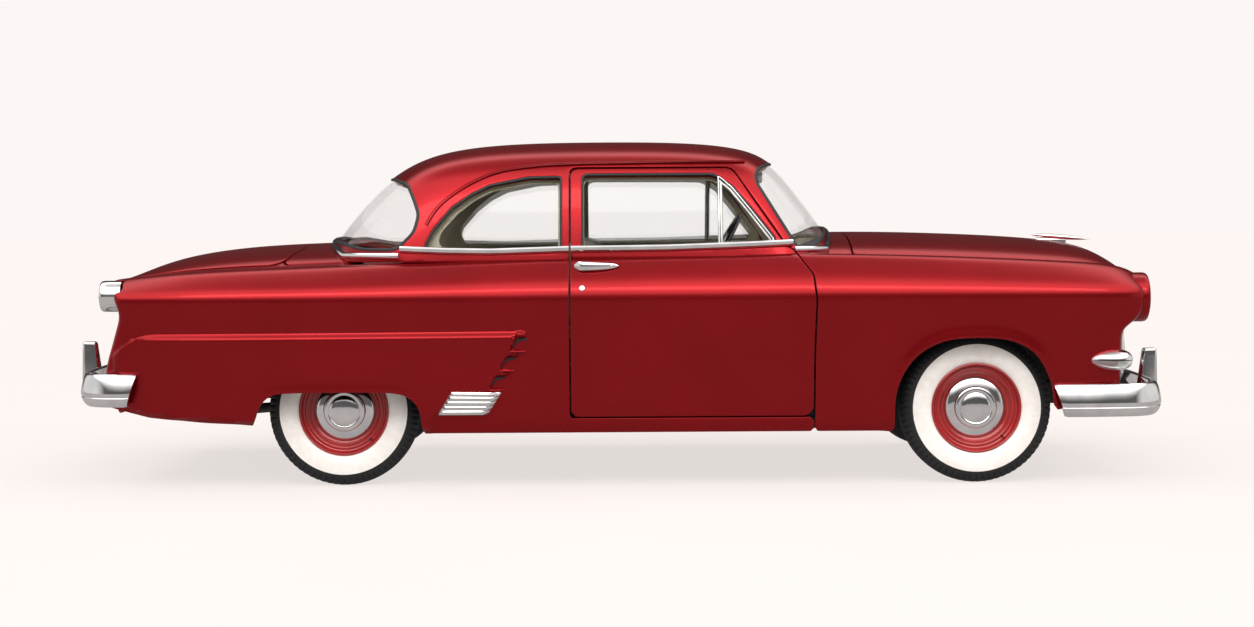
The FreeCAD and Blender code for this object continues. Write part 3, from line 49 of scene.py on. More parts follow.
LAMP_Y = -742
LAMP_Z = 852
TAIL_LAMP_Y = -772
TAIL_LAMP_Z = 884
HOOD_REAR = 1088
DECK_FRONT = -1502
HOOD_NOSE_Z = 800
DECK_NOSE_Z = 600
PANEL_SPLIT_Y = 716
DECK_HALF = 660
DOOR_REAR = -229
DOOR_TOP = 1464
RAISE = 20.0
LOUVRES = 3
PANEL_WALL = 14
DOOR_WALL = 64
ROOF_WALL = 40
PANE_WALL = 6
PANE_SINK = 10
WHEEL_HALF = 120

# Spacing of the surface grids: plain stretches, the raised rear fender, its creases, and the turns at both
# ends.
GRID_STEP = 17.0
FENDER_STEP = 7.5
CREASE_STEP = 5.0
END_STEP = 8.0
# A signed distance that stands for well inside or, with its sign changed, well outside.
FAR = 1e3

# Control lines of the lower body: x of each station, and how a width or height changes along x.

STATIONS = [-2400, -2330, -2200, -1950, -1650, -1300, -900, -300, 300,
            800, 1150, 1450, 1800, 2050, 2220, 2330, 2400, 2428]
TAPER = {-2400: 106, -2330: 82, -2200: 55, -1950: 26, -1650: 9, -1300: 1, -900: 0, 300: 0, 1150: 1,
         1450: 3, 1800: 11, 2050: 20, 2220: 32, 2330: 48, 2400: 74, 2428: 96}
CROWN = {-2400: 948, -2330: 962, -2200: 978, -1950: 997, -1650: 1010, -1300: 1022, -900: 1040,
         -300: 1062, 300: 1068, 800: 1072, 1150: 1066, 1450: 1058, 1800: 1043, 2050: 1030,
         2220: 1018, 2330: 1000, 2400: 965, 2428: 925}
VALLEY_DROP = {-2400: 5, -1300: 14, -900: 15, 800: 30, 1150: 42, 2050: 48, 2428: 30}
MIDDLE = {-2400: 900, -2330: 958, -2200: 1030, -1950: 1080, -1650: 1102, -1300: 1112, -900: 1116,
          800: 1146, 1150: 1150, 1450: 1144, 1800: 1130, 2050: 1112, 2220: 1090, 2330: 1040,
          2400: 975, 2428: 930}
CROWN_Y = {-2400: 740, -1950: 800, 800: 800, 1450: 795, 2050: 775, 2330: 752, 2428: 735}
VALLEY_Y = {-2400: 600, -1950: 670, -900: 690, 800: 690, 1150: 672, 2050: 640, 2428: 615}
SIDE_BELOW = [(108, 200), (62, 232), (40, 330), (26, 500), (15, 680), (4, 815)]

# Hoops of the greenhouse, from the backlight to the windscreen, and the poles across each hoop.
ROW_MIDDLE_X = [-1425, -1412, -1300, -1120, -905, -560, -60, 330, 600, 742, 870, 1040, 1075]
ROW_SIDE_X = [-1010, -1000, -975, -930, -860, -560, -60, 330, 520, 600, 690, 800, 830]
ROW_RISE = [0, 0.10, 0.37, 0.70, 0.92, 1.0, 1.008, 1.0, 0.95, 0.83, 0.55, 0.14, 0]
ROW_HALF_WIDTH = [790, 800, 806, 810, 812, 815, 818, 818, 815, 812, 808, 803, 795]
COLUMN_RISE = [0, 0.14, 0.42, 0.74, 0.90, 0.975, 1.0, 1.0]
COLUMN_Y_ROOF = [1.0, 0.985, 0.935, 0.865, 0.76, 0.56, 0.28, 0]
COLUMN_Y_FOOT = [1.0, 0.99, 0.955, 0.90, 0.80, 0.60, 0.30, 0]
COLUMN_WRAP = [0, 0.10, 0.28, 0.50, 0.72, 0.90, 1.0, 1.0]

# End skins: x at each height, on the middle line and at the corner, and how the poles blend across y.
NOSE_LEVELS = [100, 330, 470, 580, 670, 715, 745, 790, 860, 920, 965, 1010, 1100, 1250]
NOSE_MIDDLE = [2290, 2320, 2350, 2376, 2388, 2394, 2398, 2402, 2406, 2404, 2400, 2396, 2390, 2380]
NOSE_CORNER = [2285, 2298, 2308, 2311, 2311, 2318, 2372, 2414, 2420, 2419, 2412, 2404, 2396, 2390]
TAIL_LEVELS = [100, 300, 400, 540, 640, 740, 790, 830, 880, 930, 965, 1000, 1100, 1250]
TAIL_MIDDLE = [-2290, -2330, -2362, -2378, -2374, -2368, -2364,
               -2360, -2352, -2340, -2332, -2328, -2322, -2315]
TAIL_CORNER = [-2290, -2338, -2374, -2382, -2345, -2316, -2304,
               -2314, -2334, -2346, -2350, -2352, -2354, -2356]
END_Y = [0, 250, 440, 560, 650, 740, 830, 890, 1000]
LOW_BLEND = [0, 0.10, 0.28, 0.45, 0.60, 0.78, 0.94, 1, 1]
HIGH_BLEND = [0, 0, 0.12, 0.55, 0.92, 1, 1, 1, 1]
CORNER_ROUND = [0, 0, 0, 0, 0, 0, 6, 22, 60]

# Outlines in side view (x, z) or plan (x, y); a third number is the radius of the corner.
DOOR_FRONT_LINE = [(887, 321, 45), (888, 600), (897, 855), (884, 973), (806, 1080),
                   (768, 1104), (632, 1300), (552, 1420, 50), (522, DOOR_TOP, 60)]
DOOR_WINDOW = [(-176, 1086, 18), (-176, 1438, 26), (440, 1438, 70), (526, 1380), (612, 1274),
               (724, 1132, 12), (706, 1098, 16)]
QUARTER_WINDOW = [(-265, 1076, 14), (-265, 1428, 16), (-420, 1426, 200), (-600, 1390),
                  (-690, 1345), (-776, 1284), (-864, 1180), (-912, 1082, 18)]
FRONT_ARCH = [(1254, 300), (1258, 410), (1291, 512), (1364, 605), (1480, 664), (1624, 678), (1780, 664),
              (1895, 602), (1965, 480), (1990, 345)]
REAR_ARCH = [(-1678, 290), (-1650, 376), (-1600, 428), (-1520, 444), (-1267, 447), (-1060, 444),
             (-970, 424), (-920, 366), (-903, 258)]
WINDSCREEN_EDGE = [(870, 1060), (824, 1088, 40), (697, 1294), (600, 1452, 60), (735, 1486),
                   (1300, 1486), (1300, 1186), (1010, 1186)]
BACKLIGHT_EDGE = [(-1700, 1420), (-1072, 1420), (-985, 1395, 40), (-950, 1320, 90), (-926, 1252, 60),
                  (-948, 1170, 90), (-1030, 1090, 60), (-1200, 1092), (-1320, 1122), (-1700, 1122)]
CABIN_HALF = [(-1372, 0), (-1330, -330, 150), (-1190, -560, 200), (-985, -700, 200), (-820, -738, 90),
              (680, -738, 60), (800, -700, 90), (930, -520, 200), (1012, -260, 300), (1030, 0)]
HOOD_HALF = [(1500, 662), (2000, 640), (2200, 612), (2320, 584), (2460, 580)]
MOUTH = [(-640, 535, 80), (640, 535, 80), (640, 742, 80), (-640, 742, 80)]
FENDER_AREA = [(890.5, 250), (891.5, 600), (900.5, 855), (887.5, 973), (809.5, 1080), (750, 1112),
               (750, 1240), (2500, 1240), (2500, 430), (2311, 410, 60), (2180, 366), (1998, 345),
               (1998, 250), (1262, 250)]
QUARTER_AREA = [(887, 317.5), (887, 250), (-903, 250), (-903, 252), (-1690, 292), (-1927, 305), (-2163, 326),
                (-2371, 378, 60), (-2500, 420), (-2500, 1240), (-232.5, 1240), (-232.5, 317.5)]
BULGE = [(-412, 724, 24), (-2230, 716, 260), (-2330, 620), (-2330, 392), (-2163, 336), (-1927, 315),
         (-1600, 300), (-860, 262), (-842, 334), (-612, 336, 10), (-541, 447)]
DRIP_LINE = [(584, 1488), (300, 1488), (-93, 1484), (-243, 1481), (-376, 1474), (-554, 1449), (-687, 1396),
             (-790, 1330), (-852, 1270), (-892, 1205)]
BELT_TOP = [(-1015, 1077), (-800, 1068), (-591, 1064), (-239, 1074), (220, 1078), (600, 1090), (800, 1098)]
FRONT_BAR = [(1950, 920), (2090, 919), (2230, 914), (2380, 889), (2462, 806), (2492, 640), (2500, 400),
             (2502, 0)]
REAR_BAR = [(-2160, 904), (-2350, 892), (-2444, 826), (-2478, 650), (-2484, 320), (-2486, 0)]


# Surfaces of the body.


def unit(vectors):
    """Vectors along the last axis, made one long."""
    return vectors / np.maximum(np.linalg.norm(vectors, axis=-1, keepdims=True), 1e-9)


def basis(count, t):
    """Cubic B-spline weights by the Cox-de Boor recursion, with clamped even knots."""
    degree = 3
    knots = np.concatenate([np.zeros(degree), np.linspace(0, 1, count - degree + 1), np.ones(degree)])
    t = np.clip(np.asarray(t, float), 0, 1 - 1e-9)[:, None]
    weights = ((knots[:-1] <= t) & (t < knots[1:])).astype(float)
    for d in range(1, degree + 1):
        left = knots[d:-1] - knots[:-d - 1]
        right = knots[d + 1:] - knots[1:-d]
        a = np.where(left > 0, (t - knots[:-d - 1]) / np.where(left > 0, left, 1), 0)
        b = np.where(right > 0, (knots[d + 1:] - t) / np.where(right > 0, right, 1), 0)
        weights = a * weights[:, :-1] + b * weights[:, 1:]
    return weights


def surface(net, u, v):
    """Point (u, v) is the sum of the poles weighted by basis(u) times basis(v)."""
    return np.einsum("ui,ijk,vj->uvk", basis(net.shape[0], u), net, basis(net.shape[1], v))


def line(table, x):
    """Value of a control line at x, straight between its points."""
    stations = sorted(table)
    return np.interp(x, stations, [table[s] for s in stations])


def mirrored_columns(half):
    """A grid whose last column is on the middle plane, carried on to the left half."""
    return np.concatenate([half, half[:, -2::-1] * [1, -1, 1]], 1)


def lower_net():
    """Poles of the lower body, one row for each station from tail to nose."""
    x = np.array(STATIONS, float)
    w = HALF_WIDTH - line(TAPER, x)
    crown = line(CROWN, x)
    valley = crown - line(VALLEY_DROP, x)
    middle = line(MIDDLE, x)
    cy = line(CROWN_Y, x)
    vy = line(VALLEY_Y, x)
    same = np.ones_like(x)
    half = [(w - inset, z * same) for inset, z in SIDE_BELOW]
    half += [(w + 3, SHOULDER * same), (w - 14, SHOULDER + 0.34 * (crown - SHOULDER)),
             (0.35 * w + 0.65 * cy, SHOULDER + 0.78 * (crown - SHOULDER)), (cy, crown),
             (0.55 * cy + 0.45 * vy, crown - 0.3 * (crown - valley)), (vy, valley),
             (vy - 45, valley + 0.45 * (middle - valley)), (vy * 0.62, valley + 0.86 * (middle - valley)),
             (vy * 0.3, middle), (0 * x, middle)]
    return mirrored_columns(np.array([[x, -y, z] for y, z in half]).transpose(2, 0, 1))


def upper_net():
    """Poles of the greenhouse, one row for each hoop from the backlight to the windscreen."""
    up = np.array(ROW_RISE)[:, None]
    foot = 1 - up / max(ROW_RISE)
    roof_y = np.array(COLUMN_Y_ROOF)
    y = np.array(ROW_HALF_WIDTH)[:, None] * (roof_y + (np.array(COLUMN_Y_FOOT) - roof_y) * foot)
    side_x = np.array(ROW_SIDE_X, float)[:, None]
    x = side_x + (np.array(ROW_MIDDLE_X)[:, None] - side_x) * np.array(COLUMN_WRAP)
    z = GREENHOUSE_FOOT + (ROOF_TOP - GREENHOUSE_FOOT) * up * np.array(COLUMN_RISE)
    return mirrored_columns(np.stack([x, -y, z], 2))


def end_skin(levels, middle, corner, split, outward):
    """Function x(y, z) of a skin across one end: poles blend from the middle line to the corner line."""
    z = np.array(levels, float)
    blend = np.where(z[:, None] > split, HIGH_BLEND, LOW_BLEND)
    mid = np.array(middle, float)[:, None]
    x = mid + (np.array(corner)[:, None] - mid) * blend - outward * np.array(CORNER_ROUND)
    full = np.concatenate([x[:, ::-1], x[:, 1:]], 1)
    y = np.concatenate([-np.array(END_Y, float)[::-1], END_Y[1:]])
    samples = 801
    t = np.linspace(0, 1, samples)
    y_at = basis(len(y), t) @ y
    z_at = basis(len(z), t) @ z
    grid = basis(len(z), t) @ full @ basis(len(y), t).T

    def x_of(y_value, z_value):
        """Reads the skin at y and z, straight between its fine samples."""
        a = np.interp(z_value, z_at, np.arange(float(samples)))
        b = np.interp(y_value, y_at, np.arange(float(samples)))
        i = np.clip(a.astype(int), 0, samples - 2)
        j = np.clip(b.astype(int), 0, samples - 2)
        p = a - i
        q = b - j
        return ((1 - p) * (1 - q) * grid[i, j] + p * (1 - q) * grid[i + 1, j]
                + (1 - p) * q * grid[i, j + 1] + p * q * grid[i + 1, j + 1])
    return x_of


NOSE = end_skin(NOSE_LEVELS, NOSE_MIDDLE, NOSE_CORNER, 735, 1)
TAIL = end_skin(TAIL_LEVELS, TAIL_MIDDLE, TAIL_CORNER, 760, -1)


def soften(rows, times, reach):
    """Running mean along the first axis, which rounds a sharp turn over about reach rows."""
    for _ in range(times):
        padded = np.concatenate([rows[:1]] * reach + [rows] + [rows[-1:]] * reach)
        sums = np.cumsum(np.concatenate([np.zeros_like(rows[:1]), padded]), 0)
        mean = (sums[2 * reach + 1:] - sums[:-2 * reach - 1]) / (2 * reach + 1)
        mean[:1] = rows[:1]
        mean[-1:] = rows[-1:]
        rows = mean
    return rows


def outward_normals(points, outwards):
    """Unit normals of a grid from its central differences, turned so that the middle one faces outwards."""
    normal = unit(np.cross(np.gradient(points, axis=0), np.gradient(points, axis=1)))
    middle = normal[len(points) // 2, points.shape[1] // 2]
    return normal if middle @ outwards > 0 else -normal


def section_samples():
    """Parameters across the body's right half, a grid step apart on the middle section: finer over the
    raised rear fender, and finest at the creases along its top and along the shoulder."""
    t = np.linspace(0, 0.5, 1601)
    section = surface(lower_net(), [0.5], t)[0]
    step = np.linalg.norm(np.diff(section, axis=0), axis=1)
    y = section[1:, 1]
    z = section[1:, 2]
    crease = ((z > 692) & (z < 740)) | ((z > 852) & (z < 890))
    spacing = np.where((y < -800) & crease, CREASE_STEP, GRID_STEP)
    spacing = np.where((y < -800) & (z > 448) & (z < 693), FENDER_STEP, spacing)
    count = np.concatenate([[0], np.cumsum(step / spacing)])
    return np.interp(np.linspace(0, count[-1], int(count[-1]) + 1), count, t)


def crossing(u, height, low, high):
    """Parameter at which each column of heights passes zero between its rows low and high."""
    columns = np.arange(height.shape[1])
    share = -height[low, columns] / (height[high, columns] - height[low, columns])
    return u[low] + share * (u[high] - u[low])


def end_cap(x_of, edge, near):
    """Rows of an end skin from the side's edge towards y = 0, z = 250, first near the turn and then a grid
    step apart."""
    to = np.array([0.0, 250.0]) - edge[:, 1:]
    length = np.linalg.norm(to, axis=1)
    run = np.concatenate([near[1:], near[-1] + np.arange(1, 47) * GRID_STEP])
    run = run[:, None] * np.minimum(1, 0.97 * length / run[-1])
    yz = edge[:, 1:] + to * (run / length)[:, :, None]
    return np.concatenate([x_of(yz[:, :, 0], yz[:, :, 1])[:, :, None], yz], 2)


def lower_body():
    """Grid of the whole right half: tail skin from its middle, then the side from tail to nose, then the
    nose skin. Each column crosses from hull to end skin where x meets the skin, and the turn is rounded."""
    v = section_samples()
    u = np.linspace(0, 1, 1201)
    hull = surface(lower_net(), u, v)
    x_line = hull[:, :, 0]
    fore = x_line - NOSE(hull[:, :, 1], hull[:, :, 2])
    aft = TAIL(hull[:, :, 1], hull[:, :, 2]) - x_line
    first = np.argmax(fore > 0, axis=0)
    last = len(u) - 1 - np.argmax((aft > 0)[::-1], axis=0)
    u_nose = crossing(u, fore, first - 1, first)
    u_tail = crossing(u, aft, last + 1, last)
    columns = range(len(v))
    x_nose = np.array([np.interp(u_nose[j], u, x_line[:, j]) for j in columns])
    x_tail = np.array([np.interp(u_tail[j], u, x_line[:, j]) for j in columns])
    near = np.arange(0, 97, END_STEP)
    marks = np.concatenate([np.arange(-2230, -760, GRID_STEP), np.arange(-760, -400, 7.2),
                            np.arange(-400, 2270, GRID_STEP)])
    share = (marks - marks[0])[:, None] / (marks[-1] - marks[0])
    x_rows = np.concatenate([x_tail + near[:-1, None],
                             x_tail + near[-1] + share * (x_nose - x_tail - 2 * near[-1]),
                             x_nose - near[::-1][1:, None]])
    side = np.empty((len(x_rows), len(v), 3))
    for j in columns:
        at = np.interp(x_rows[:, j], x_line[:, j], u)
        for k in range(3):
            side[:, j, k] = np.interp(at, u, hull[:, j, k])
    tail_cap = end_cap(TAIL, side[0], near)
    whole = np.concatenate([tail_cap[::-1], side, end_cap(NOSE, side[-1], near)])
    row = np.arange(len(whole))[:, None]
    close = np.minimum(abs(row - len(tail_cap)), abs(row - (len(tail_cap) + len(side) - 1)))
    weight = np.clip((14 - close) / 6.0, 0, 1)[:, :, None]
    return whole * (1 - weight) + soften(whole, 2, 2) * weight


LOWER = lower_body()
LOWER_N = outward_normals(LOWER, [0, -1, 1])
UPPER = surface(upper_net(), np.linspace(0, 1, 241), np.linspace(0, 1, 201))
UPPER_N = outward_normals(UPPER, [0, 0, 1])
# Rows of the greenhouse grid ahead of and behind the roof's top, from the roof to the foot.
FRONT_ROWS = np.arange(150, 241)
REAR_ROWS = np.arange(90, -1, -1)


# Outlines.


def rounded(points):
    """Closed outline with an arc of the given radius at each corner, as a fine run of points."""
    out = []
    for k, corner in enumerate(points):
        p = np.array(corner[:2], float)
        radius = corner[2] if len(corner) > 2 else 0
        if not radius:
            out.append(p[None])
            continue
        back = unit(np.array(points[k - 1][:2]) - p)
        ahead = unit(np.array(points[(k + 1) % len(points)][:2]) - p)
        angle = math.acos(np.clip(back @ ahead, -1, 1))
        middle = unit(back + ahead) * radius / math.sin(angle / 2)
        a = back * radius / math.tan(angle / 2) - middle
        b = ahead * radius / math.tan(angle / 2) - middle
        t = np.linspace(0, 1, 9)[:, None]
        arc = a * np.sin((1 - t) * (math.pi - angle)) + b * np.sin(t * (math.pi - angle))
        out.append(p + middle + arc / math.sin(math.pi - angle))
    return np.concatenate(out)


def flowing(points, per=12):
    """Smooth open curve through the points, a Catmull-Rom spline: per samples for each span."""
    p = np.array(points, float)
    p = np.concatenate([2 * p[:1] - p[1:2], p, 2 * p[-1:] - p[-2:-1]])
    t = np.linspace(0, 1, per, endpoint=False)[:, None]
    runs = []
    for a, b, c, d in zip(p, p[1:], p[2:], p[3:]):
        runs.append(0.5 * (2 * b + (c - a) * t + (2 * a - 5 * b + 4 * c - d) * t ** 2
                           + (3 * b - a - 3 * c + d) * t ** 3))
    return np.concatenate(runs + [p[-2:-1]])


def resampled(path, step, closed=False):
    """The path's points spread evenly along its length, about step apart."""
    path = np.array(path, float)
    if closed:
        path = np.concatenate([path, path[:1]])
    run = np.concatenate([[0], np.cumsum(np.linalg.norm(np.diff(path, axis=0), axis=1))])
    count = max(2, int(round(run[-1] / step)) + 1)
    at = np.linspace(0, run[-1], count)
    out = np.stack([np.interp(at, run, path[:, k]) for k in range(path.shape[1])], 1)
    return out[:-1] if closed else out


def turning(outline):
    """Twice the area of a closed outline, positive when it runs round to the left."""
    ahead = np.roll(outline, -1, 0)
    return (outline[:, 0] * ahead[:, 1] - ahead[:, 0] * outline[:, 1]).sum()


def drawn_in(outline, amount):
    """Closed outline moved inwards along its normals."""
    tangent = unit(np.roll(outline, -1, 0) - np.roll(outline, 1, 0))
    inward = np.column_stack([-tangent[:, 1], tangent[:, 0]])
    return outline + inward * amount * np.sign(turning(outline))


def mirrored_outline(half):
    """Right half of a plan outline, from rear to front, closed by its left half."""
    return rounded(half + [(p[0], -p[1]) + tuple(p[2:]) for p in reversed(half)])


def door_outline(grow):
    """Side outline of a door, grown on every side."""
    rear = DOOR_REAR - grow
    points = [(rear, 321 - grow, 30)]
    for p in DOOR_FRONT_LINE:
        z = p[1] + (-grow if p[1] == 321 else grow if p[1] == DOOR_TOP else 0)
        points.append((p[0] + grow, z) + tuple(p[2:]))
    points.append((rear, DOOR_TOP + grow, 30))
    return rounded(points)


def hood_outline(grow):
    """Plan outline of the hood."""
    half = [(HOOD_REAR - grow, 0), (HOOD_REAR - grow, -668 - grow, 30)]
    half += [(x, -y - grow) for x, y in HOOD_HALF]
    return mirrored_outline(half)


def deck_outline(grow):
    """Plan outline of the trunk lid."""
    front = DECK_FRONT + grow
    half = [(-2600, 0), (-2600, -628 - grow), (-2240, -630 - grow), (-1900, -652 - grow),
            (front - 70, -DECK_HALF - grow, 90), (front - 10, -430, 300), (front, 0)]
    return mirrored_outline(half)


def arch_outline(points):
    """Wheel opening: smooth arch closed far below the ground."""
    arch = flowing(points)
    return np.concatenate([arch, [[arch[-1, 0], 100], [arch[0, 0], 100]]])


# Areas: signed distances over a grid, negative inside.


def distance(p, q, outline):
    """Signed distance from points (p, q) to a closed outline."""
    best = np.full(p.shape, 1e9)
    inside = np.zeros(p.shape, bool)
    for a, b in zip(outline, np.roll(outline, -1, 0)):
        d = b - a
        size2 = max(d @ d, 1e-12)
        t = np.clip(((p - a[0]) * d[0] + (q - a[1]) * d[1]) / size2, 0, 1)
        best = np.minimum(best, (p - a[0] - t * d[0]) ** 2 + (q - a[1] - t * d[1]) ** 2)
        if a[1] != b[1]:
            cross = (a[1] > q) != (b[1] > q)
            inside ^= cross & (p < a[0] + (q - a[1]) * (b[0] - a[0]) / (b[1] - a[1]))
    best = np.sqrt(best)
    return np.where(inside, -best, best)


def shared(f, *more):
    """What several areas have in common."""
    for g in more:
        f = np.maximum(f, g)
    return f


def within(mask):
    """The area that a mask holds."""
    return np.where(mask, -FAR, FAR)


def limited(mask, f):
    """Area f where a mask holds, and no limit elsewhere."""
    return np.where(mask, f, -FAR)


# Meshes. A part is its points and a list of (faces, number of the finish).


def grid_faces(rows, columns, wrap_rows=False, wrap_columns=False):
    """Quads between neighbouring points of a grid."""
    i = np.arange(rows if wrap_rows else rows - 1)
    j = np.arange(columns if wrap_columns else columns - 1)
    i, j = np.meshgrid(i, j, indexing="ij")
    i2 = (i + 1) % rows
    j2 = (j + 1) % columns
    corners = [i * columns + j, i2 * columns + j, i2 * columns + j2, i * columns + j2]
    return np.stack(corners, 2).reshape(-1, 4)


def joined(parts):
    """Several parts as one."""
    points = []
    faces = []
    start = 0
    for p, groups in parts:
        points.append(p)
        faces += [(f + start, m) for f, m in groups]
        start += len(p)
    return np.concatenate(points), faces


def other_side(part):
    """The same part mirrored in the middle plane, its faces turned back outwards."""
    points, faces = part
    return points * [1, -1, 1], [(f[:, ::-1], m) for f, m in faces]


def both(part):
    """A part and its mirror image as one."""
    return joined([part, other_side(part)])


def piece(name, part, finishes, body, stands_for=(), sharp=38):
    """Makes a mesh in metres from points in millimetres, with its finishes, and sets it riding on a body."""
    points, groups = part
    loops = np.concatenate([f.ravel() for f, m in groups]).astype(np.int32)
    sizes = np.concatenate([np.full(len(f), f.shape[1]) for f, m in groups])
    numbers = np.concatenate([np.full(len(f), m) for f, m in groups]).astype(np.int32)
    mesh = bpy.data.meshes.new(name)
    mesh.vertices.add(len(points))
    mesh.vertices.foreach_set("co", (points / 1000).astype(np.float32).ravel())
    mesh.loops.add(len(loops))
    mesh.loops.foreach_set("vertex_index", loops)
    mesh.polygons.add(len(sizes))
    mesh.polygons.foreach_set("loop_start", np.concatenate([[0], np.cumsum(sizes)[:-1]]).astype(np.int32))
    mesh.polygons.foreach_set("material_index", numbers)
    mesh.polygons.foreach_set("use_smooth", np.ones(len(sizes), bool))
    mesh.update(calc_edges=True)
    mesh.validate()
    mesh.set_sharp_from_angle(angle=math.radians(sharp))
    for material in finishes:
        mesh.materials.append(material)
    obj = bpy.data.objects.new(name, mesh)
    bpy.context.scene.collection.objects.link(obj)
    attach(obj, body)
    if stands_for:
        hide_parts(*stands_for)
    return obj


def pair(name, part, finishes, body, node=None):
    """A part on the right and its mirror image on the left, on the chassis or on the body of each side."""
    for side, shape in (("_right", part), ("_left", other_side(part))):
        rides_on = body if body == "chassis" else body + side
        piece(name + side, shape, finishes, rides_on, [node + side] if node else ())


def snapped(points, normals, f):
    """Moves the nearer end of each grid edge that f crosses to the crossing, so that an outline is exact."""
    rows, columns = f.shape
    best = np.full(f.shape, 2.0)
    where = np.zeros(f.shape, int)
    shifts = [(1, 0), (-1, 0), (0, 1), (0, -1)]
    for k, (di, dj) in enumerate(shifts):
        a = (slice(max(0, -di), rows - max(0, di)), slice(max(0, -dj), columns - max(0, dj)))
        b = (slice(max(0, di), rows - max(0, -di)), slice(max(0, dj), columns - max(0, -dj)))
        cross = (f[a] * f[b]) < 0
        t = np.where(cross, f[a] / np.where(cross, f[a] - f[b], 1), 2.0)
        t = np.where(t <= 0.5, t, 2.0)
        better = t < best[a]
        best[a] = np.where(better, t, best[a])
        where[a] = np.where(better, k, where[a])
    p = points.copy()
    n = normals.copy()
    f = f.copy()
    for k, (di, dj) in enumerate(shifts):
        i, j = np.nonzero((best < 2) & (where == k))
        t = best[i, j][:, None]
        p[i, j] = points[i, j] * (1 - t) + points[i + di, j + dj] * t
        n[i, j] = normals[i, j] * (1 - t) + normals[i + di, j + dj] * t
        f[i, j] = 0
    return p.reshape(-1, 3), unit(n.reshape(-1, 3)), f


def faces_inside(p, n, f):
    """Quads with all corners where f <= 0 and triangles with three of them, facing along the normals."""
    quads = grid_faces(*f.shape)
    f = f.ravel()
    keep = f <= 1e-9
    count = keep[quads].sum(1)
    whole = quads[count == 4]
    part = quads[count == 3]
    gap = np.argmin(keep[part], axis=1)
    thirds = np.take_along_axis(part, (gap[:, None] + np.array([1, 2, 3])) % 4, 1)
    a, b, c = (p[thirds[:, k]] for k in range(3))
    area = np.linalg.norm(np.cross(b - a, c - a), axis=1)
    thirds = thirds[~(f[thirds] == 0).all(1) & (area > 1e-3)]
    a, b, _, d = whole[len(whole) // 2]
    way = -1 if np.cross(p[b] - p[a], p[d] - p[a]) @ n[a] < 0 else 1
    return whole[:, ::way], thirds[:, ::way]


def rim_of(groups, count):
    """Edges that only one face has, in the direction in which that face runs."""
    edges = np.concatenate([np.stack([f[:, k], np.roll(f, -1, 1)[:, k]], 1)
                            for f in groups for k in range(f.shape[1])])
    key = edges.min(1) * count + edges.max(1)
    _, index, times = np.unique(key, return_index=True, return_counts=True)
    return edges[index[times == 1]]


def trimmed(points, normals, f, wall, inner=0, edge=EDGE_ROUND):
    """Closed panel cut from a grid where f <= 0: an outer skin, an inner skin set back by wall and a
    rounded rim."""
    p, n, f = snapped(points, normals, f + edge)
    whole, thirds = faces_inside(p, n, f)
    used, flat = np.unique(np.concatenate([whole.ravel(), thirds.ravel()]), return_inverse=True)
    whole = flat[:whole.size].reshape(-1, 4)
    thirds = flat[whole.size:].reshape(-1, 3)
    p = p[used]
    n = n[used]
    rim = rim_of((whole, thirds), len(p))
    out = np.cross(unit(p[rim[:, 1]] - p[rim[:, 0]]), n[rim[:, 0]])
    total = np.zeros_like(p)
    np.add.at(total, rim[:, 0], out)
    np.add.at(total, rim[:, 1], out)
    on_rim = np.unique(rim)
    direction = unit(total[on_rim])
    rings = []
    for angle in np.radians([30, 60, 90]):
        rings.append(p[on_rim] + direction * edge * math.sin(angle)
                     - n[on_rim] * edge * (1 - math.cos(angle)))
    rings.append(rings[-1] - n[on_rim] * (wall - edge))
    place = np.full(len(p), -1)
    place[on_rim] = np.arange(len(on_rim))
    inner_start = len(p) + 4 * len(on_rim)
    levels = [rim] + [len(p) + k * len(on_rim) + place[rim] for k in range(4)] + [inner_start + rim]
    bands = [np.stack([u[:, 0], w[:, 0], w[:, 1], u[:, 1]], 1) for u, w in zip(levels, levels[1:])]
    return np.concatenate([p] + rings + [p - n * wall]), [
        (whole, 0), (thirds, 0), (np.concatenate(bands), 0),
        (inner_start + whole[:, ::-1], inner), (inner_start + thirds[:, ::-1], inner)]


def landing(points, normals, axes, targets):
    """Points of a grid surface whose two coordinates named by axes equal the targets, and the normals there.
    Starts at the nearest grid point and takes Newton steps on the bilinear surface."""
    targets = np.array(targets)
    flat = points[:, :, axes]
    rows, columns = flat.shape[:2]
    index = np.array([np.argmin(((flat - t) ** 2).sum(2)) for t in targets])
    i = (index // columns).astype(float)
    j = (index % columns).astype(float)

    def read(grid, a, b):
        """Value of a grid at fractional row a and column b."""
        a = np.clip(a, 0, rows - 1.001)
        b = np.clip(b, 0, columns - 1.001)
        k = a.astype(int)
        m = b.astype(int)
        p = (a - k)[:, None]
        q = (b - m)[:, None]
        return ((1 - p) * (1 - q) * grid[k, m] + p * (1 - q) * grid[k + 1, m]
                + (1 - p) * q * grid[k, m + 1] + p * q * grid[k + 1, m + 1])
    for _ in range(6):
        error = targets - read(flat, i, j)
        du = read(flat, i + 0.5, j) - read(flat, i - 0.5, j)
        dv = read(flat, i, j + 0.5) - read(flat, i, j - 0.5)
        det = du[:, 0] * dv[:, 1] - du[:, 1] * dv[:, 0]
        det = np.where(abs(det) < 1e-6, 1e-6, det)
        i = i + np.clip((error[:, 0] * dv[:, 1] - error[:, 1] * dv[:, 0]) / det, -3, 3)
        j = j + np.clip((du[:, 0] * error[:, 1] - du[:, 1] * error[:, 0]) / det, -3, 3)
    return read(points, i, j), unit(read(normals, i, j))


def on_upper(points, sink=0.0):
    """Side-view points (x, z) laid on the right side of the greenhouse, sunk by some millimetres."""
    half = slice(0, 101)
    at, normal = landing(UPPER[:, half], UPPER_N[:, half], [0, 2], points)
    return at - normal * sink, normal


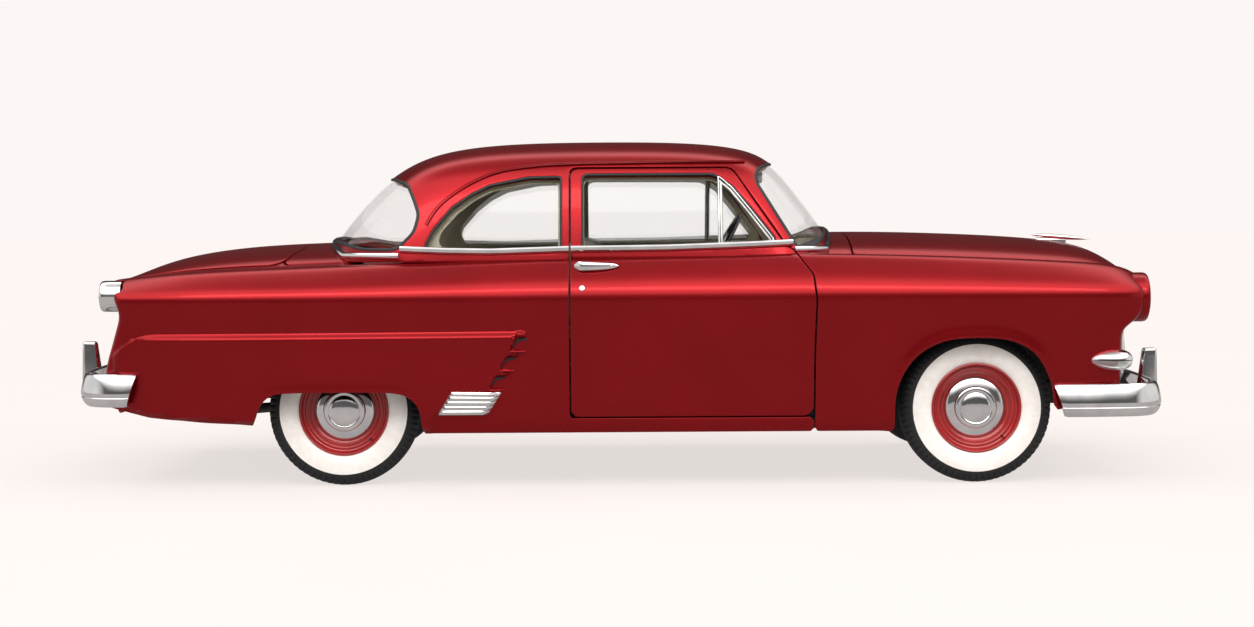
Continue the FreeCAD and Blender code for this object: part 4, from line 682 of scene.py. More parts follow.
def on_side(points, rise=0.0):
    """Side-view points (x, z) laid on the right side of the lower body."""
    at, normal = landing(SIDE[:, :100], SIDE_N[:, :100], [0, 2], points)
    return at + normal * rise, normal


def circle(count):
    """Angles spread evenly round a circle."""
    return np.linspace(0, 2 * math.pi, count, endpoint=False)


def squared(wave, power):
    """Signed power of a sine or cosine: one below 1 squares a circle."""
    return np.sign(wave) * abs(wave) ** power


def round_profile(width, height, count=12, lift=0.0):
    """Half-round moulding: flat below, an ellipse above."""
    a = np.linspace(0, math.pi, count)
    top = np.stack([np.cos(a) * width / 2, lift + np.sin(a) * height], 1)
    return np.concatenate([top, [[-width / 2, -3], [width / 2, -3]]])


def swept(path, normals, profile, closed=False, finish=0, scale=None):
    """Profile (across, up) carried along a path: point = path + across * (tangent x normal) + up * normal.
    One normal serves the whole path where only one is given."""
    normals = np.broadcast_to(np.array(normals, float), path.shape)
    tangent = unit(np.roll(path, -1, 0) - np.roll(path, 1, 0) if closed else np.gradient(path, axis=0))
    normals = unit(normals - (normals * tangent).sum(1, keepdims=True) * tangent)
    across = np.cross(tangent, normals)
    profile = np.array(profile, float)
    grow = np.ones(len(path)) if scale is None else scale
    grid = (path[:, None] + across[:, None] * (profile[:, 0] * grow[:, None])[:, :, None]
            + normals[:, None] * (profile[:, 1] * grow[:, None])[:, :, None])
    width = len(profile)
    way = -1 if turning(profile) > 0 else 1
    points = grid.reshape(-1, 3)
    groups = [(grid_faces(len(path), width, closed, True)[:, ::way], finish)]
    if not closed:
        ring = np.arange(width)
        ends = [ring, len(points) - 1 - ring]
        caps = [np.stack([end, np.roll(end, -1), np.full(width, len(points) + k)], 1)[:, ::-way]
                for k, end in enumerate(ends)]
        points = np.concatenate([points, [grid[0].mean(0), grid[-1].mean(0)]])
        groups.append((np.concatenate(caps), finish))
    return points, groups


def turned(profile, centre, axis, count=96, finish=0):
    """Profile (radius, distance along the axis) turned about the axis; radius 0 closes a pole."""
    axis = unit(np.array(axis, float))
    side = unit(np.cross(axis, [0, 0, 1] if abs(axis[2]) < 0.9 else [1, 0, 0]))
    up = np.cross(side, axis)
    profile = np.array(profile, float)
    angle = circle(count)[:, None]
    ring = np.cos(angle) * side + np.sin(angle) * up
    grid = np.array(centre, float) + profile[:, None, :1] * ring + profile[:, None, 1:] * axis
    return grid.reshape(-1, 3), [(grid_faces(len(profile), count, False, True), finish)]


def shaped(centre, size, power=0.7, rows=24, count=32, finish=0):
    """Closed rounded block: each sine and cosine of the sphere is raised to a power below 1 to square it."""
    lat = np.linspace(-math.pi / 2, math.pi / 2, rows)[:, None]
    lon = circle(count)[None]
    level = squared(np.cos(lat), power)
    grid = np.stack([level * squared(np.cos(lon), power), level * squared(np.sin(lon), power),
                     squared(np.sin(lat), power) * np.ones_like(lon)], 2)
    grid = grid * (np.array(size) / 2) + np.array(centre)
    return grid.reshape(-1, 3), [(grid_faces(rows, count, False, True)[:, ::-1], finish)]


def lofted(sections, finish=0):
    """Closed form through rings of points, each ring the same count; the ends are fanned to their middles."""
    rings = np.array(sections, float)
    rows, count = rings.shape[:2]
    points = np.concatenate([rings.reshape(-1, 3), [rings[0].mean(0), rings[-1].mean(0)]])
    faces = grid_faces(rows, count, False, True)
    first = np.arange(count)
    last = first + (rows - 1) * count
    caps = np.concatenate([np.stack([np.roll(first, -1), first, np.full(count, rows * count)], 1),
                           np.stack([last, np.roll(last, -1), np.full(count, rows * count + 1)], 1)])
    a, b, c, d = points[faces[len(faces) // 2]]
    way = -1 if np.cross(b - a, d - a) @ ((a + c) / 2 - rings[rows // 2].mean(0)) < 0 else 1
    return points, [(faces[:, ::way], finish), (caps[:, ::way], finish)]


# Finishes.


def linear(colour, alpha=1.0):
    """sRGB hex turned to linear light."""
    channels = [int(colour[k:k + 2], 16) / 255 for k in (1, 3, 5)]
    return [c / 12.92 if c <= 0.04045 else ((c + 0.055) / 1.055) ** 2.4 for c in channels] + [alpha]


def add(tree, kind, inputs=None, **settings):
    """Adds one node with its settings; an input given as a socket is linked, any other is set."""
    made = tree.nodes.new(kind)
    for key, value in settings.items():
        setattr(made, key, value)
    for key, value in (inputs or {}).items():
        if isinstance(value, bpy.types.NodeSocket):
            tree.links.new(value, made.inputs[key])
        else:
            made.inputs[key].default_value = value
    return made


def grained(name, colour, roughness, grain, metallic=0.0, rough=None, bump=0.0, **more):
    """New material with its tree and shader. The grain is (size in mm, low colour, high colour): noise of
    that size varies the colour between the two, and if asked the roughness between two values and the
    height by bump mm."""
    material = bpy.data.materials.new(name)
    material.use_nodes = True
    tree = material.node_tree
    shader = tree.nodes["Principled BSDF"]
    shader.inputs["Base Color"].default_value = linear(colour)
    shader.inputs["Roughness"].default_value = roughness
    shader.inputs["Metallic"].default_value = metallic
    for key, value in more.items():
        shader.inputs[key.replace("_", " ")].default_value = value
    size_mm, low, high = grain
    place = add(tree, "ShaderNodeTexCoord")
    noise = add(tree, "ShaderNodeTexNoise", {"Vector": place.outputs["Object"], "Scale": 1000.0 / size_mm,
                                             "Detail": 3.0})
    ramp = add(tree, "ShaderNodeValToRGB", {"Fac": noise.outputs["Fac"]})
    for end, position, shade in zip(ramp.color_ramp.elements, (0.35, 0.65), (low, high)):
        end.position = position
        end.color = linear(shade)
    tree.links.new(ramp.outputs["Color"], shader.inputs["Base Color"])
    if rough:
        span = add(tree, "ShaderNodeMapRange", {"Value": noise.outputs["Fac"], "To Min": rough[0],
                                                "To Max": rough[1]})
        tree.links.new(span.outputs["Result"], shader.inputs["Roughness"])
    if bump:
        relief = add(tree, "ShaderNodeBump", {"Height": noise.outputs["Fac"], "Distance": bump / 1000,
                                              "Strength": 1.0})
        tree.links.new(relief.outputs["Normal"], shader.inputs["Normal"])
    return material, tree, shader


def finish(*values, **more):
    """The material alone."""
    return grained(*values, **more)[0]


# Baked enamel, sprayed and polished: deep even red under a clear gloss. Its metallic share, which real enamel
# of the time lacks, gives the deep shade and the bright band along the shoulder under plain studio light.
ENAMEL = finish("baked_enamel_red", "#8a0f15", 0.27, (420, "#870e14", "#8d1017"), 0.75, Coat_Weight=0.22,
                Coat_Roughness=0.03, Coat_IOR=1.4, Specular_IOR_Level=0.2)
# Wheel enamel: the same red, brushed on thicker and less glossy.
WHEEL_RED = finish("wheel_enamel_red", "#a01a1a", 0.32, (160, "#991718", "#a81d1d"), 0.15, Coat_Weight=0.5)
# Bright chrome plating on polished steel: mirror-like, faintly uneven.
CHROME = finish("chrome_plate", "#d9dadb", 0.08, (90, "#d2d4d6", "#e2e2e2"), 1.0, rough=(0.05, 0.11))
# Polished stainless steel of the vent frame: softer and greyer than chrome.
STEEL = finish("polished_stainless", "#9a9c98", 0.3, (60, "#8f918d", "#a5a7a3"), 0.9)
# Moulded tyre rubber: near black, dull; its pores are drawn 4 mm coarse to show.
RUBBER = finish("moulded_rubber_black", "#15151a", 0.62, (4, "#121214", "#1d1d20"), rough=(0.55, 0.75),
                bump=0.15)
# White side wall rubber: warm white, slightly dull.
WHITEWALL = finish("white_side_wall_rubber", "#f3f0ea", 0.5, (30, "#f0ece5", "#f7f5f0"), rough=(0.42, 0.58))
# Laminated window glass: clear, thin, faint green-grey.
GLASS = finish("window_glass", "#f8fbf9", 0.0, (900, "#f6faf7", "#fcfefd"), Transmission_Weight=1.0, IOR=1.05,
               Alpha=0.16)
# Pressed lamp glass: clear, a little cloudy.
LAMP_GLASS = finish("pressed_lamp_glass", "#dfe6e4", 0.06, (60, "#d6dedc", "#e8eeec"),
                    Transmission_Weight=0.75, IOR=1.45)
# Moulded tail lens: deep ruby plastic.
RUBY = finish("moulded_lens_red", "#b01810", 0.12, (40, "#a01410", "#c02214"), Transmission_Weight=0.4)
# Painted frame and chassis parts: satin black.
CHASSIS = finish("chassis_paint_black", "#1b1b1c", 0.5, (25, "#161617", "#242426"), rough=(0.4, 0.65),
                 bump=0.1)
# Bare cast iron and steel under the car: brown grey, rough.
IRON = finish("cast_iron", "#4a4643", 0.6, (12, "#3d3936", "#57524e"), 0.6, rough=(0.5, 0.75), bump=0.3)
# Door and window seals: soft black rubber.
SEAL = finish("extruded_rubber_seal", "#101012", 0.55, (15, "#0e0e10", "#18181a"))
# Woven wool cloth of seats and trim: grey olive, matt; its threads are drawn 6 mm coarse to show.
CLOTH = finish("woven_wool_cloth", "#6d6857", 0.9, (6, "#5f5a4a", "#7b7563"), bump=0.4, Sheen_Weight=0.3)
# Headliner: napped cloth, pale grey.
LINER = finish("napped_headliner", "#a39d8b", 0.95, (5, "#989280", "#aea896"), bump=0.3)
# Painted steel inside the car: grey green, semi-gloss.
INTERIOR = finish("interior_enamel", "#96937c", 0.35, (300, "#918e76", "#9c9983"), Coat_Weight=0.4)
# Steering wheel: hard black moulded resin.
RESIN = finish("moulded_hard_resin", "#141416", 0.22, (60, "#101012", "#1b1b1e"))
PAINTED = [ENAMEL, CHASSIS]


# Body panels, cut from the lower body's grid.
X, Y, Z = (LOWER[:, :, k] for k in range(3))
AHEAD = X > 1900
ASTERN = X < -1900
HOOD_FOOT = HOOD_NOSE_Z - HALF_GAP
LID_FOOT = DECK_NOSE_Z - HALF_GAP
HOOD_GAP = distance(X, Y, hood_outline(HALF_GAP))
DECK_GAP = distance(X, Y, deck_outline(HALF_GAP))
FRONT_OPENING = distance(X, Z, arch_outline(FRONT_ARCH))
REAR_OPENING = distance(X, Z, arch_outline(REAR_ARCH))
# Above the sill of the cabin the body is open inside the cabin's plan.
CABIN_OUT = limited(Z > 880, -distance(X, Y, mirrored_outline(CABIN_HALF)))


def lamp_out(mask, y, z, radius):
    """Outside a round lamp hole in an end skin."""
    return limited(mask, radius - np.hypot(Y - y, Z - z))


def louvre_corner(k):
    """x and z of the upper corner of louvre k, counted from the top."""
    return -467 - 48 * k, 689 - 88 * k


def fender_rise():
    """Height of the raised panel on the rear fender: a smooth step over its rolled edge, less three notches
    for the louvres, fading out towards the tail."""
    bulge = distance(X, Z, rounded(BULGE))
    for k in range(LOUVRES):
        rear, top = louvre_corner(k)
        notch = [(rear, top, 9), (rear - 29, top - 58, 9), (rear + 90, top - 58), (rear + 120, top)]
        bulge = shared(bulge, -distance(X, Z, rounded(notch)))
    roll = np.where((Z > 690) & (X < -470), 30.0, 11.0)
    t = np.clip(-bulge / roll, 0, 1)
    rise = t * t * (3 - 2 * t) * RAISE
    rise = np.where((X < -300) & (Y < -700) & (Z < 800), rise, 0)
    return rise * np.clip((X + 2352) / 60.0, 0, 1)


def arch_flare():
    """Lip round each wheel opening: a bell curve of the distance outside it."""
    front = 9.0 * np.exp(-(np.maximum(FRONT_OPENING, 0) / 42.0) ** 2)
    rear = 5.0 * np.exp(-(np.maximum(REAR_OPENING, 0) / 34.0) ** 2)
    return np.where((Y < -700) & (Z < 800), front + rear, 0)


SIDE = LOWER + LOWER_N * fender_rise()[:, :, None]
SIDE = SIDE + LOWER_N * arch_flare()[:, :, None]
SIDE_N = outward_normals(SIDE, [0, -1, 1])
WHOLE = mirrored_columns(LOWER)
WHOLE_N = mirrored_columns(LOWER_N)


def side_panel(wall, *areas):
    """Panel of the right side, trimmed to several areas at once."""
    return trimmed(SIDE, SIDE_N, shared(*areas), wall, inner=1)


def middle_panel(inner, *areas):
    """Panel across the middle of the car, from areas of its right half."""
    f = shared(*areas)
    return trimmed(WHOLE, WHOLE_N, np.concatenate([f, f[:, -2::-1]], 1), PANEL_WALL, inner=inner)


def fender_panel():
    """Front fender: outside the wheel opening, the hood, the front panel, the cowl, the cabin and the
    lamp."""
    hood_area = np.where(AHEAD, shared(HOOD_GAP, HOOD_FOOT - Z), HOOD_GAP)
    return side_panel(PANEL_WALL, distance(X, Z, rounded(FENDER_AREA)), -FRONT_OPENING, -hood_area,
                      limited(AHEAD, -shared(Z - HOOD_FOOT, abs(Y) - PANEL_SPLIT_Y)),
                      -shared(600 - X, X - 1100, -690 - Y), CABIN_OUT,
                      lamp_out(X > 2300, LAMP_Y, LAMP_Z, 100))


def quarter_panel():
    """Rear fender: outside the wheel opening, the strip behind the cabin, the tail, the lid and the lamp.
    Its inner faces ahead of the rear seat's back and above the floor take the third finish, the cabin's
    cloth."""
    deck_area = np.where(ASTERN, shared(DECK_GAP, LID_FOOT - Z), DECK_GAP)
    points, groups = side_panel(
        PANEL_WALL, distance(X, Z, rounded(QUARTER_AREA)), -REAR_OPENING,
        -shared(-1560 - X, X + 900, -DECK_HALF - Y),
        limited(ASTERN, -shared(abs(Y) - DECK_HALF, Z - LID_FOOT)), -deck_area, CABIN_OUT,
        lamp_out(X < -2280, TAIL_LAMP_Y, TAIL_LAMP_Z, 73))
    lined = []
    for faces, number in groups:
        middle = points[faces].mean(1)
        in_cabin = (number == 1) & (middle[:, 0] > -1020) & (middle[:, 2] > 560)
        lined += [(faces[~in_cabin], number), (faces[in_cabin], 2)]
    return points, lined


def tail_panel():
    """Strip between cabin and lid, and the tail below the lid, which has its own even grid over y and z. A
    rubber strip stands behind the lid's lower edge."""
    strip = middle_panel(1, -1560 - X, X + 1000, -659.5 - Y, CABIN_OUT, -DECK_GAP)
    y, z = np.meshgrid(np.linspace(-680, 680, 110), np.linspace(310, 620, 32), indexing="ij")
    skin = np.stack([TAIL(y, z), y, z], 2)
    low = shared(abs(y) - 659.5, 330 - z, z - LID_FOOT)
    below = trimmed(skin, outward_normals(skin, [-1, 0, 0]), low, PANEL_WALL, inner=1)
    y = np.linspace(-600, 600, 80)
    rest = np.column_stack([TAIL(y, 600.0) + 21, y, np.full(80, 600.0)])
    return joined([strip, below, swept(rest, [-1, 0, 0], round_profile(26, 5), finish=1)])


def hood_panel():
    """Hood: its plan outline, and ahead its lower edge."""
    return middle_panel(0, distance(X, Y, hood_outline(-HALF_GAP)),
                        limited(AHEAD, HOOD_NOSE_Z + HALF_GAP - Z))


def trunk_panel():
    """Trunk lid: its plan outline, and behind its lower edge."""
    return middle_panel(0, distance(X, Y, deck_outline(-HALF_GAP)),
                        limited(ASTERN, DECK_NOSE_Z + HALF_GAP - Z), X + 1300)


def cowl_panel():
    """Cowl: from the cabin to the hood's rear edge."""
    return middle_panel(1, 760 - X, X - (HOOD_REAR - HALF_GAP), -689.5 - Y, CABIN_OUT)


def nose_panel():
    """Front panel: below the hood, round the grille's mouth and the lamps."""
    return middle_panel(1, 2100 - X, -715.5 - Y, 400 - Z, Z - HOOD_FOOT, -distance(Y, Z, rounded(MOUTH)),
                        lamp_out(X > 2300, LAMP_Y, LAMP_Z, 114.5))


# Greenhouse, cut from the upper body's grid.
UX, UY, UZ = (UPPER[:, :, k] for k in range(3))
WINDOW_AREA = distance(UX, UZ, rounded(DOOR_WINDOW))
QUARTER_WINDOW_AREA = distance(UX, UZ, rounded(QUARTER_WINDOW))
SCREEN_AREA = distance(UX, UZ, rounded(WINDSCREEN_EDGE))
BACKLIGHT_AREA = distance(UX, UZ, rounded(BACKLIGHT_EDGE))
# The pillar behind the door leans back as it rises and as it comes in.
PILLAR = DOOR_REAR + 0.27 * ((-abs(UY) + 800) - 0.31 * (UZ - 1075))


def door_panel():
    """Door: the lower panel as thick as the whole door, and the frame round its window."""
    lower = side_panel(DOOR_WALL, distance(X, Z, door_outline(-HALF_GAP)), CABIN_OUT, within(Y < -600))
    frame_area = shared(distance(UX, UZ, door_outline(-HALF_GAP)), PILLAR + HALF_GAP - UX, -WINDOW_AREA,
                        1046 - UZ, within(UY < 0))
    return joined([lower, trimmed(UPPER, UPPER_N, frame_area, ROOF_WALL, inner=1)])


def roof_panel():
    """Roof with its pillars: all of the greenhouse but the windows and the doors."""
    door_hole = shared(distance(UX, UZ, door_outline(HALF_GAP)), PILLAR - HALF_GAP - UX)
    area = shared(1033 - UZ, -WINDOW_AREA, -QUARTER_WINDOW_AREA, -SCREEN_AREA, -BACKLIGHT_AREA, -door_hole)
    return trimmed(UPPER, UPPER_N, area, ROOF_WALL, inner=1)


def pane(area, *more):
    """Glass set in from the skin, reaching 4 mm past its opening, on every second row and column of the
    grid."""
    f = shared(area - 4, 1050 - UZ, *more)
    skin = UPPER - UPPER_N * PANE_SINK
    return trimmed(skin[::2, ::2], UPPER_N[::2, ::2], f[::2, ::2], PANE_WALL, edge=0.6)


pair("fender_panel", fender_panel(), PAINTED, "chassis", "fender")
pair("quarter_panel", quarter_panel(), PAINTED + [CLOTH], "chassis", "quarter")
pair("door_panel", door_panel(), [ENAMEL, CLOTH], "door", "door")
piece("hood_panel", hood_panel(), PAINTED, "hood", ["hood"])
piece("trunk_panel", trunk_panel(), PAINTED, "trunk_lid", ["trunk_lid"])
piece("cowl_panel", cowl_panel(), PAINTED, "chassis", ["cowl"])
piece("tail_skin", tail_panel(), PAINTED, "chassis", ["tail_panel"])
piece("nose_skin", nose_panel(), PAINTED, "chassis", ["front_panel"])
piece("roof_panel", roof_panel(), [ENAMEL, LINER], "chassis", ["roof"])
piece("windscreen_glass", pane(SCREEN_AREA), [GLASS], "chassis", ["windscreen"])
piece("rear_window_glass", pane(BACKLIGHT_AREA), [GLASS], "chassis", ["rear_window"])
piece("quarter_glass", both(pane(QUARTER_WINDOW_AREA, within(UY < 0))), [GLASS], "chassis",
      ["quarter_windows"])
pair("door_pane", pane(WINDOW_AREA, within(UY < 0)), [GLASS], "door", "door_glass")


# Wheels. A line is (radius, distance outwards from a plane 120 mm inside the wheel's middle plane).
TYRE_LINE = [(196.6, 64), (200, 52), (206, 45), (222, 37), (248, 30.5), (276, 31), (302, 35), (318, 40),
             (330, 46), (338, 53), (344, 62), (347, 74), (347.4, 84), (347.6, 87.5), (347.6, 92.5), (348, 96),
             (348, 104), (348, 107.5), (348, 112.5), (348, 116), (348, 124), (348, 127.5), (348, 132.5),
             (348, 136), (348, 144), (347.6, 147.5), (347.6, 152.5), (347.4, 156), (347, 166), (344, 178),
             (338, 187), (330, 194), (320, 199.5), (310, 203.5), (300, 206.3), (296, 207.2), (295, 209),
             (285, 210.3), (268, 211), (248, 210.2), (228, 206.2), (212, 199), (204, 192), (199, 184),
             (196.6, 176)]
RIM_LINE = [(0, 122), (60, 122), (80, 130), (150, 134), (182, 120), (186, 58), (203, 43), (207, 43.5),
            (206, 46), (196, 64), (196, 176), (205, 194), (207.6, 198), (206, 201.5), (202, 203),
            (198.5, 201), (196, 195), (194.5, 187), (191, 180), (187, 176), (183, 175), (179, 177),
            (174, 178), (169, 175.5), (165, 169), (161, 161), (157, 156), (151, 152), (144, 149),
            (128, 147), (0, 147)]
CAP_LINE = [(120, 147), (140.5, 147.5), (143, 150), (142.5, 153.5), (139, 157), (131, 162), (121, 166),
            (110, 169), (101, 170.5), (98.5, 171), (97.5, 173), (96.5, 178), (94, 181), (89, 183), (82, 184),
            (76, 184), (73, 182.8), (71, 180.5), (68, 180.5), (65, 182.5), (58, 185), (45, 187.3), (28, 189),
            (12, 189.8), (0, 190)]
VALVE_LINE = [(0, 168), (5, 168), (5, 186), (3.5, 188), (3.5, 194), (0, 194)]


def tyre(centre, side):
    """Turned tyre line; the tread is cut by four zigzag grooves, and lugs 5 degrees apart run over the
    shoulders."""
    count = 288
    zigzags = 60
    profile = np.array(TYRE_LINE)
    angle = circle(count)
    radius = np.repeat(profile[:, :1], count, 1)
    offset = np.repeat(profile[:, 1:], count, 1)
    wave = abs(((angle * zigzags / (2 * math.pi)) % 1) - 0.5) * 4 - 1
    groove = sum(np.where(abs(offset - middle) < 3.0, 6.0, 0) for middle in (90, 110, 130, 150))
    on_tread = (profile[:, 1] > 80) & (profile[:, 1] < 160) & (profile[:, 0] > 340)
    lug = (np.arange(count) % 4 == 0)[None] & ((profile[:, 0] > 318) & ~on_tread)[:, None]
    radius = radius - groove - np.where(lug, 4.5, 0)
    offset = offset + np.where(on_tread[:, None], 1.6 * wave, 0)
    offset = offset - np.where(lug, 3.5, 0) * np.sign(offset - WHEEL_HALF)
    grid = np.stack([radius * np.cos(angle), side * offset, radius * np.sin(angle)], 2) + np.array(centre)
    faces = grid_faces(len(profile), count, True, True)
    row = faces[:, 0] // count
    white = (profile[row, 0] <= 295.5) & (profile[row, 0] > 198) & (profile[row, 1] > 150)
    faces = faces[:, ::-side]
    return grid.reshape(-1, 3), [(faces[~white], 0), (faces[white], 1)]


def road_wheel(centre, side):
    """Turned rim and hub cap, and the valve stem through the rim."""
    axis = (0, side, 0)
    at_valve = (centre[0] + 120, centre[1], centre[2] - 132)
    return joined([turned(RIM_LINE, centre, axis, 128), turned(CAP_LINE, centre, axis, 128, finish=1),
                   turned(VALVE_LINE, at_valve, axis, 16, finish=2)])


for name, x, track, side in (("front_right", FRONT_X, 736.6, -1), ("front_left", FRONT_X, 736.6, 1),
                             ("rear_right", REAR_X, 711, -1), ("rear_left", REAR_X, 711, 1)):
    centre = (x, side * (track - WHEEL_HALF), TYRE_R)
    piece("tyre_tread_" + name, tyre(centre, side), [RUBBER, WHITEWALL], "wheel_" + name, ["tyre_" + name])
    piece("road_wheel_" + name, road_wheel(centre, side), [WHEEL_RED, CHROME, RUBBER], "wheel_" + name,
          ["wheel_" + name])

# Bumpers. The section is (outwards, up), its outer line first and then its back.
BAR_OUTER = np.concatenate([flowing([(-8, 74), (-2, 77), (8, 72), (17, 56), (24, 32), (29, 6), (31, -12),
                                     (30, -24)], 5),
                            [(27, -28), (26.5, -31), (28.5, -34)],
                            flowing([(27.5, -38), (23, -50), (14, -64), (2, -74), (-6, -76)], 5)])
BAR_BACK = [(-14, -70), (6, -12), (0, 26), (-14, 68)]


def bumper_bar(plan, z, facing, end):
    """Bar whose section follows the plan curve at height z as far back as end, with both ends raked."""
    full_plan = plan + [(x, -y) for x, y in reversed(plan[:-1])]
    run = resampled(flowing([(x, -y) for x, y in full_plan], 16), 18)
    run = run[run[:, 0] * facing > end]
    path = np.column_stack([run, np.full(len(run), z)])
    tangent = np.gradient(run, axis=0)
    normal = np.column_stack([tangent[:, 1], -tangent[:, 0], np.zeros(len(run))]) * facing
    section = np.concatenate([BAR_OUTER, BAR_BACK])
    taper = np.ones(len(run))
    taper[[0, -1]] = 0.95
    points, groups = swept(path, normal, np.column_stack([section[:, 1] * -facing, section[:, 0]]),
                           scale=taper)
    near_end = np.clip(1 - (points[:, 0] * facing - end) / 150, 0, 1)
    points[:, 0] -= facing * 0.35 * (points[:, 2] - z) * near_end
    return points, groups


def guard(y, z_low, z_high, facing):
    """Over-rider: squared rings whose inner face leans out as they rise, closed by a rounded cap."""
    a = circle(48)
    c = squared(np.cos(a), 0.45)
    d = squared(np.sin(a), 0.45)
    rise = np.concatenate([np.linspace(0, 0.95, 14), [0.965, 0.98, 0.992, 1.0, 1.0]])
    shrink = np.concatenate([np.ones(14), [0.985, 0.95, 0.88, 0.75, 0.3]])
    rings = []
    for t, narrow in zip(rise, shrink):
        inner = 2466 + 34 * t
        outer = 2571 - 5 * t
        half_x = (outer - inner) / 2 * narrow
        half_y = (37 - 11 * t) * narrow
        rings.append(np.column_stack([facing * ((outer + inner) / 2 + half_x * c), y + half_y * d,
                                      np.full(len(a), z_low + (z_high - z_low) * t)]))
    return lofted(rings)


def bumper(plan, z, facing, end, guard_z, iron_x, iron_z):
    """Bar, its two guards, and the plain irons that carry it."""
    iron_middle = (iron_x[0] + iron_x[1]) / 2
    iron_size = (iron_x[1] - iron_x[0], 38, 40)
    return joined([bumper_bar(plan, z, facing, end)]
                  + [guard(side * 420, *guard_z, facing) for side in (-1, 1)]
                  + [shaped((iron_middle, side * 385, iron_z), iron_size, 0.3, 8, 16, finish=1)
                     for side in (-1, 1)])


piece("bumper_bar_front", bumper(FRONT_BAR, 388, 1, 2003, (318, 592), (2250, 2494), 351), [CHROME, CHASSIS],
      "chassis", ["front_bumper"])
piece("bumper_bar_rear", bumper(REAR_BAR, 456, -1, 2216, (392, 652), (-2482, -2231), 460), [CHROME, CHASSIS],
      "chassis", ["rear_bumper"])

# Grille.
BAR_Z = 638.0
MOUTH_TRIM = [(-634, 541, 76), (634, 541, 76), (634, 736, 76), (-634, 736, 76)]
SPINNER_LINE = [(84, -34), (104, -28), (107, -20), (104, -8), (96, 0), (88, 4), (82, 5), (78, 9), (72, 12),
                (66, 13), (62, 16), (60, 24), (56, 36), (48, 47), (38, 55), (25, 61), (12, 64), (0, 65)]


def on_nose(points, rise):
    """Front-view points (y, z) laid on the nose skin, pushed forward along its normal, which comes from the
    skin's slopes over 1 mm."""
    y, z = np.array(points, float).T
    x = NOSE(y, z)
    normal = unit(np.column_stack([np.ones(len(x)), x - NOSE(y + 1.0, z), x - NOSE(y, z + 1.0)]))
    return np.column_stack([x, y, z]) + normal * rise, normal


def floating_bar():
    """Bar across the mouth: an oval section, fullest in the middle, rounded off at both ends."""
    y = np.linspace(-646, 646, 90)
    path, normal = on_nose(np.column_stack([y, np.full(90, BAR_Z)]), 0)
    a = circle(28)
    oval = np.column_stack([33 * squared(np.sin(a), 0.8), 22 * np.cos(a)])
    fade = np.clip((648 - abs(y)) / 60, 0.15, 1) ** 0.5
    return swept(path, normal, oval, scale=fade * (0.86 + 0.14 * np.cos(y / 646 * math.pi / 2)))


def end_post(side):
    """Upright at an end of the bar: oval rings that swell from the foot and fade towards the top."""
    a = circle(28)
    foot, top = 452, 706
    rings = []
    for z in np.linspace(foot, top, 22):
        t = (z - foot) / (top - foot)
        half_y = 22 * (1 - t ** 3) * min(1, 0.4 + 4 * t) + 5
        half_x = 24 * (1 - t ** 4) * min(1, 0.4 + 4 * t) + 4
        rings.append(np.column_stack([NOSE(669.0, z) + half_x * np.cos(a),
                                      side * (667 - 8 * t) + half_y * np.sin(a), np.full(28, z)]))
    return lofted(rings)


def grille():
    """Bright rim of the mouth, floating bar, spinner, three short uprights on each side, and the end
    posts."""
    path, normal = on_nose(resampled(rounded(MOUTH_TRIM), 14, True), 2)
    parts = [swept(path, normal, round_profile(30, 13), closed=True), floating_bar(),
             turned([(r, d + 2388) for r, d in SPINNER_LINE], (0, 0, BAR_Z), (1, 0, 0), 96)]
    for k in range(3):
        for side in (-1, 1):
            upright = np.column_stack([np.full(16, side * (160 + 46 * k)), np.linspace(560, 716, 16)])
            parts.append(swept(*on_nose(upright, 4), round_profile(20, 20, 10, -4)))
    return joined(parts + [end_post(side) for side in (-1, 1)])


piece("grille_bars", grille(), [CHROME], "chassis", ["grille"])

# Lamps. A line is (radius, x), or for the tail lamps (radius, -x).
HEAD_RIM = [(94, 2345), (114.2, 2345), (114.2, 2414), (113.5, 2424), (111, 2431), (107, 2435), (102, 2436.5),
            (98.5, 2435), (97, 2431), (96.4, 2424), (94, 2420)]
HEAD_CHROME = [(96.6, 2420), (96.6, 2430), (95.5, 2433.5), (93, 2434), (90.5, 2431), (89.5, 2424), (92, 2418)]
REFLECTOR = [(93, 2416), (90, 2404), (80, 2385), (62, 2368), (40, 2358), (16, 2353), (0, 2352)]
LENS_RADIUS = 180.0
HEAD_LENS = [(93.4, 2410), (93.4, 2418)] + [(r, 2266 + math.sqrt(LENS_RADIUS ** 2 - r * r))
                                            for r in (92, 88, 80, 70, 60, 50, 40, 30, 20, 10, 0)]
BEZEL_LINE = [(58, 2300), (72, 2292), (72.2, 2352), (71.6, 2376), (69.5, 2385), (66, 2388.5), (62, 2389),
              (59, 2386), (57.5, 2380), (57, 2370)]
TAIL_LENS = [(57.4, 2366), (57.2, 2378), (55, 2385), (50, 2390), (40, 2395), (28, 2398.5), (14, 2400.5),
             (0, 2401)]


def at_both(y, z, facing, *lines):
    """Each (line, count, finish) turned about the lamp's axis on both sides."""
    return joined([turned(shape, (0, side * abs(y), z), (facing, 0, 0), count, finish=number)
                   for side in (-1, 1) for shape, count, number in lines])


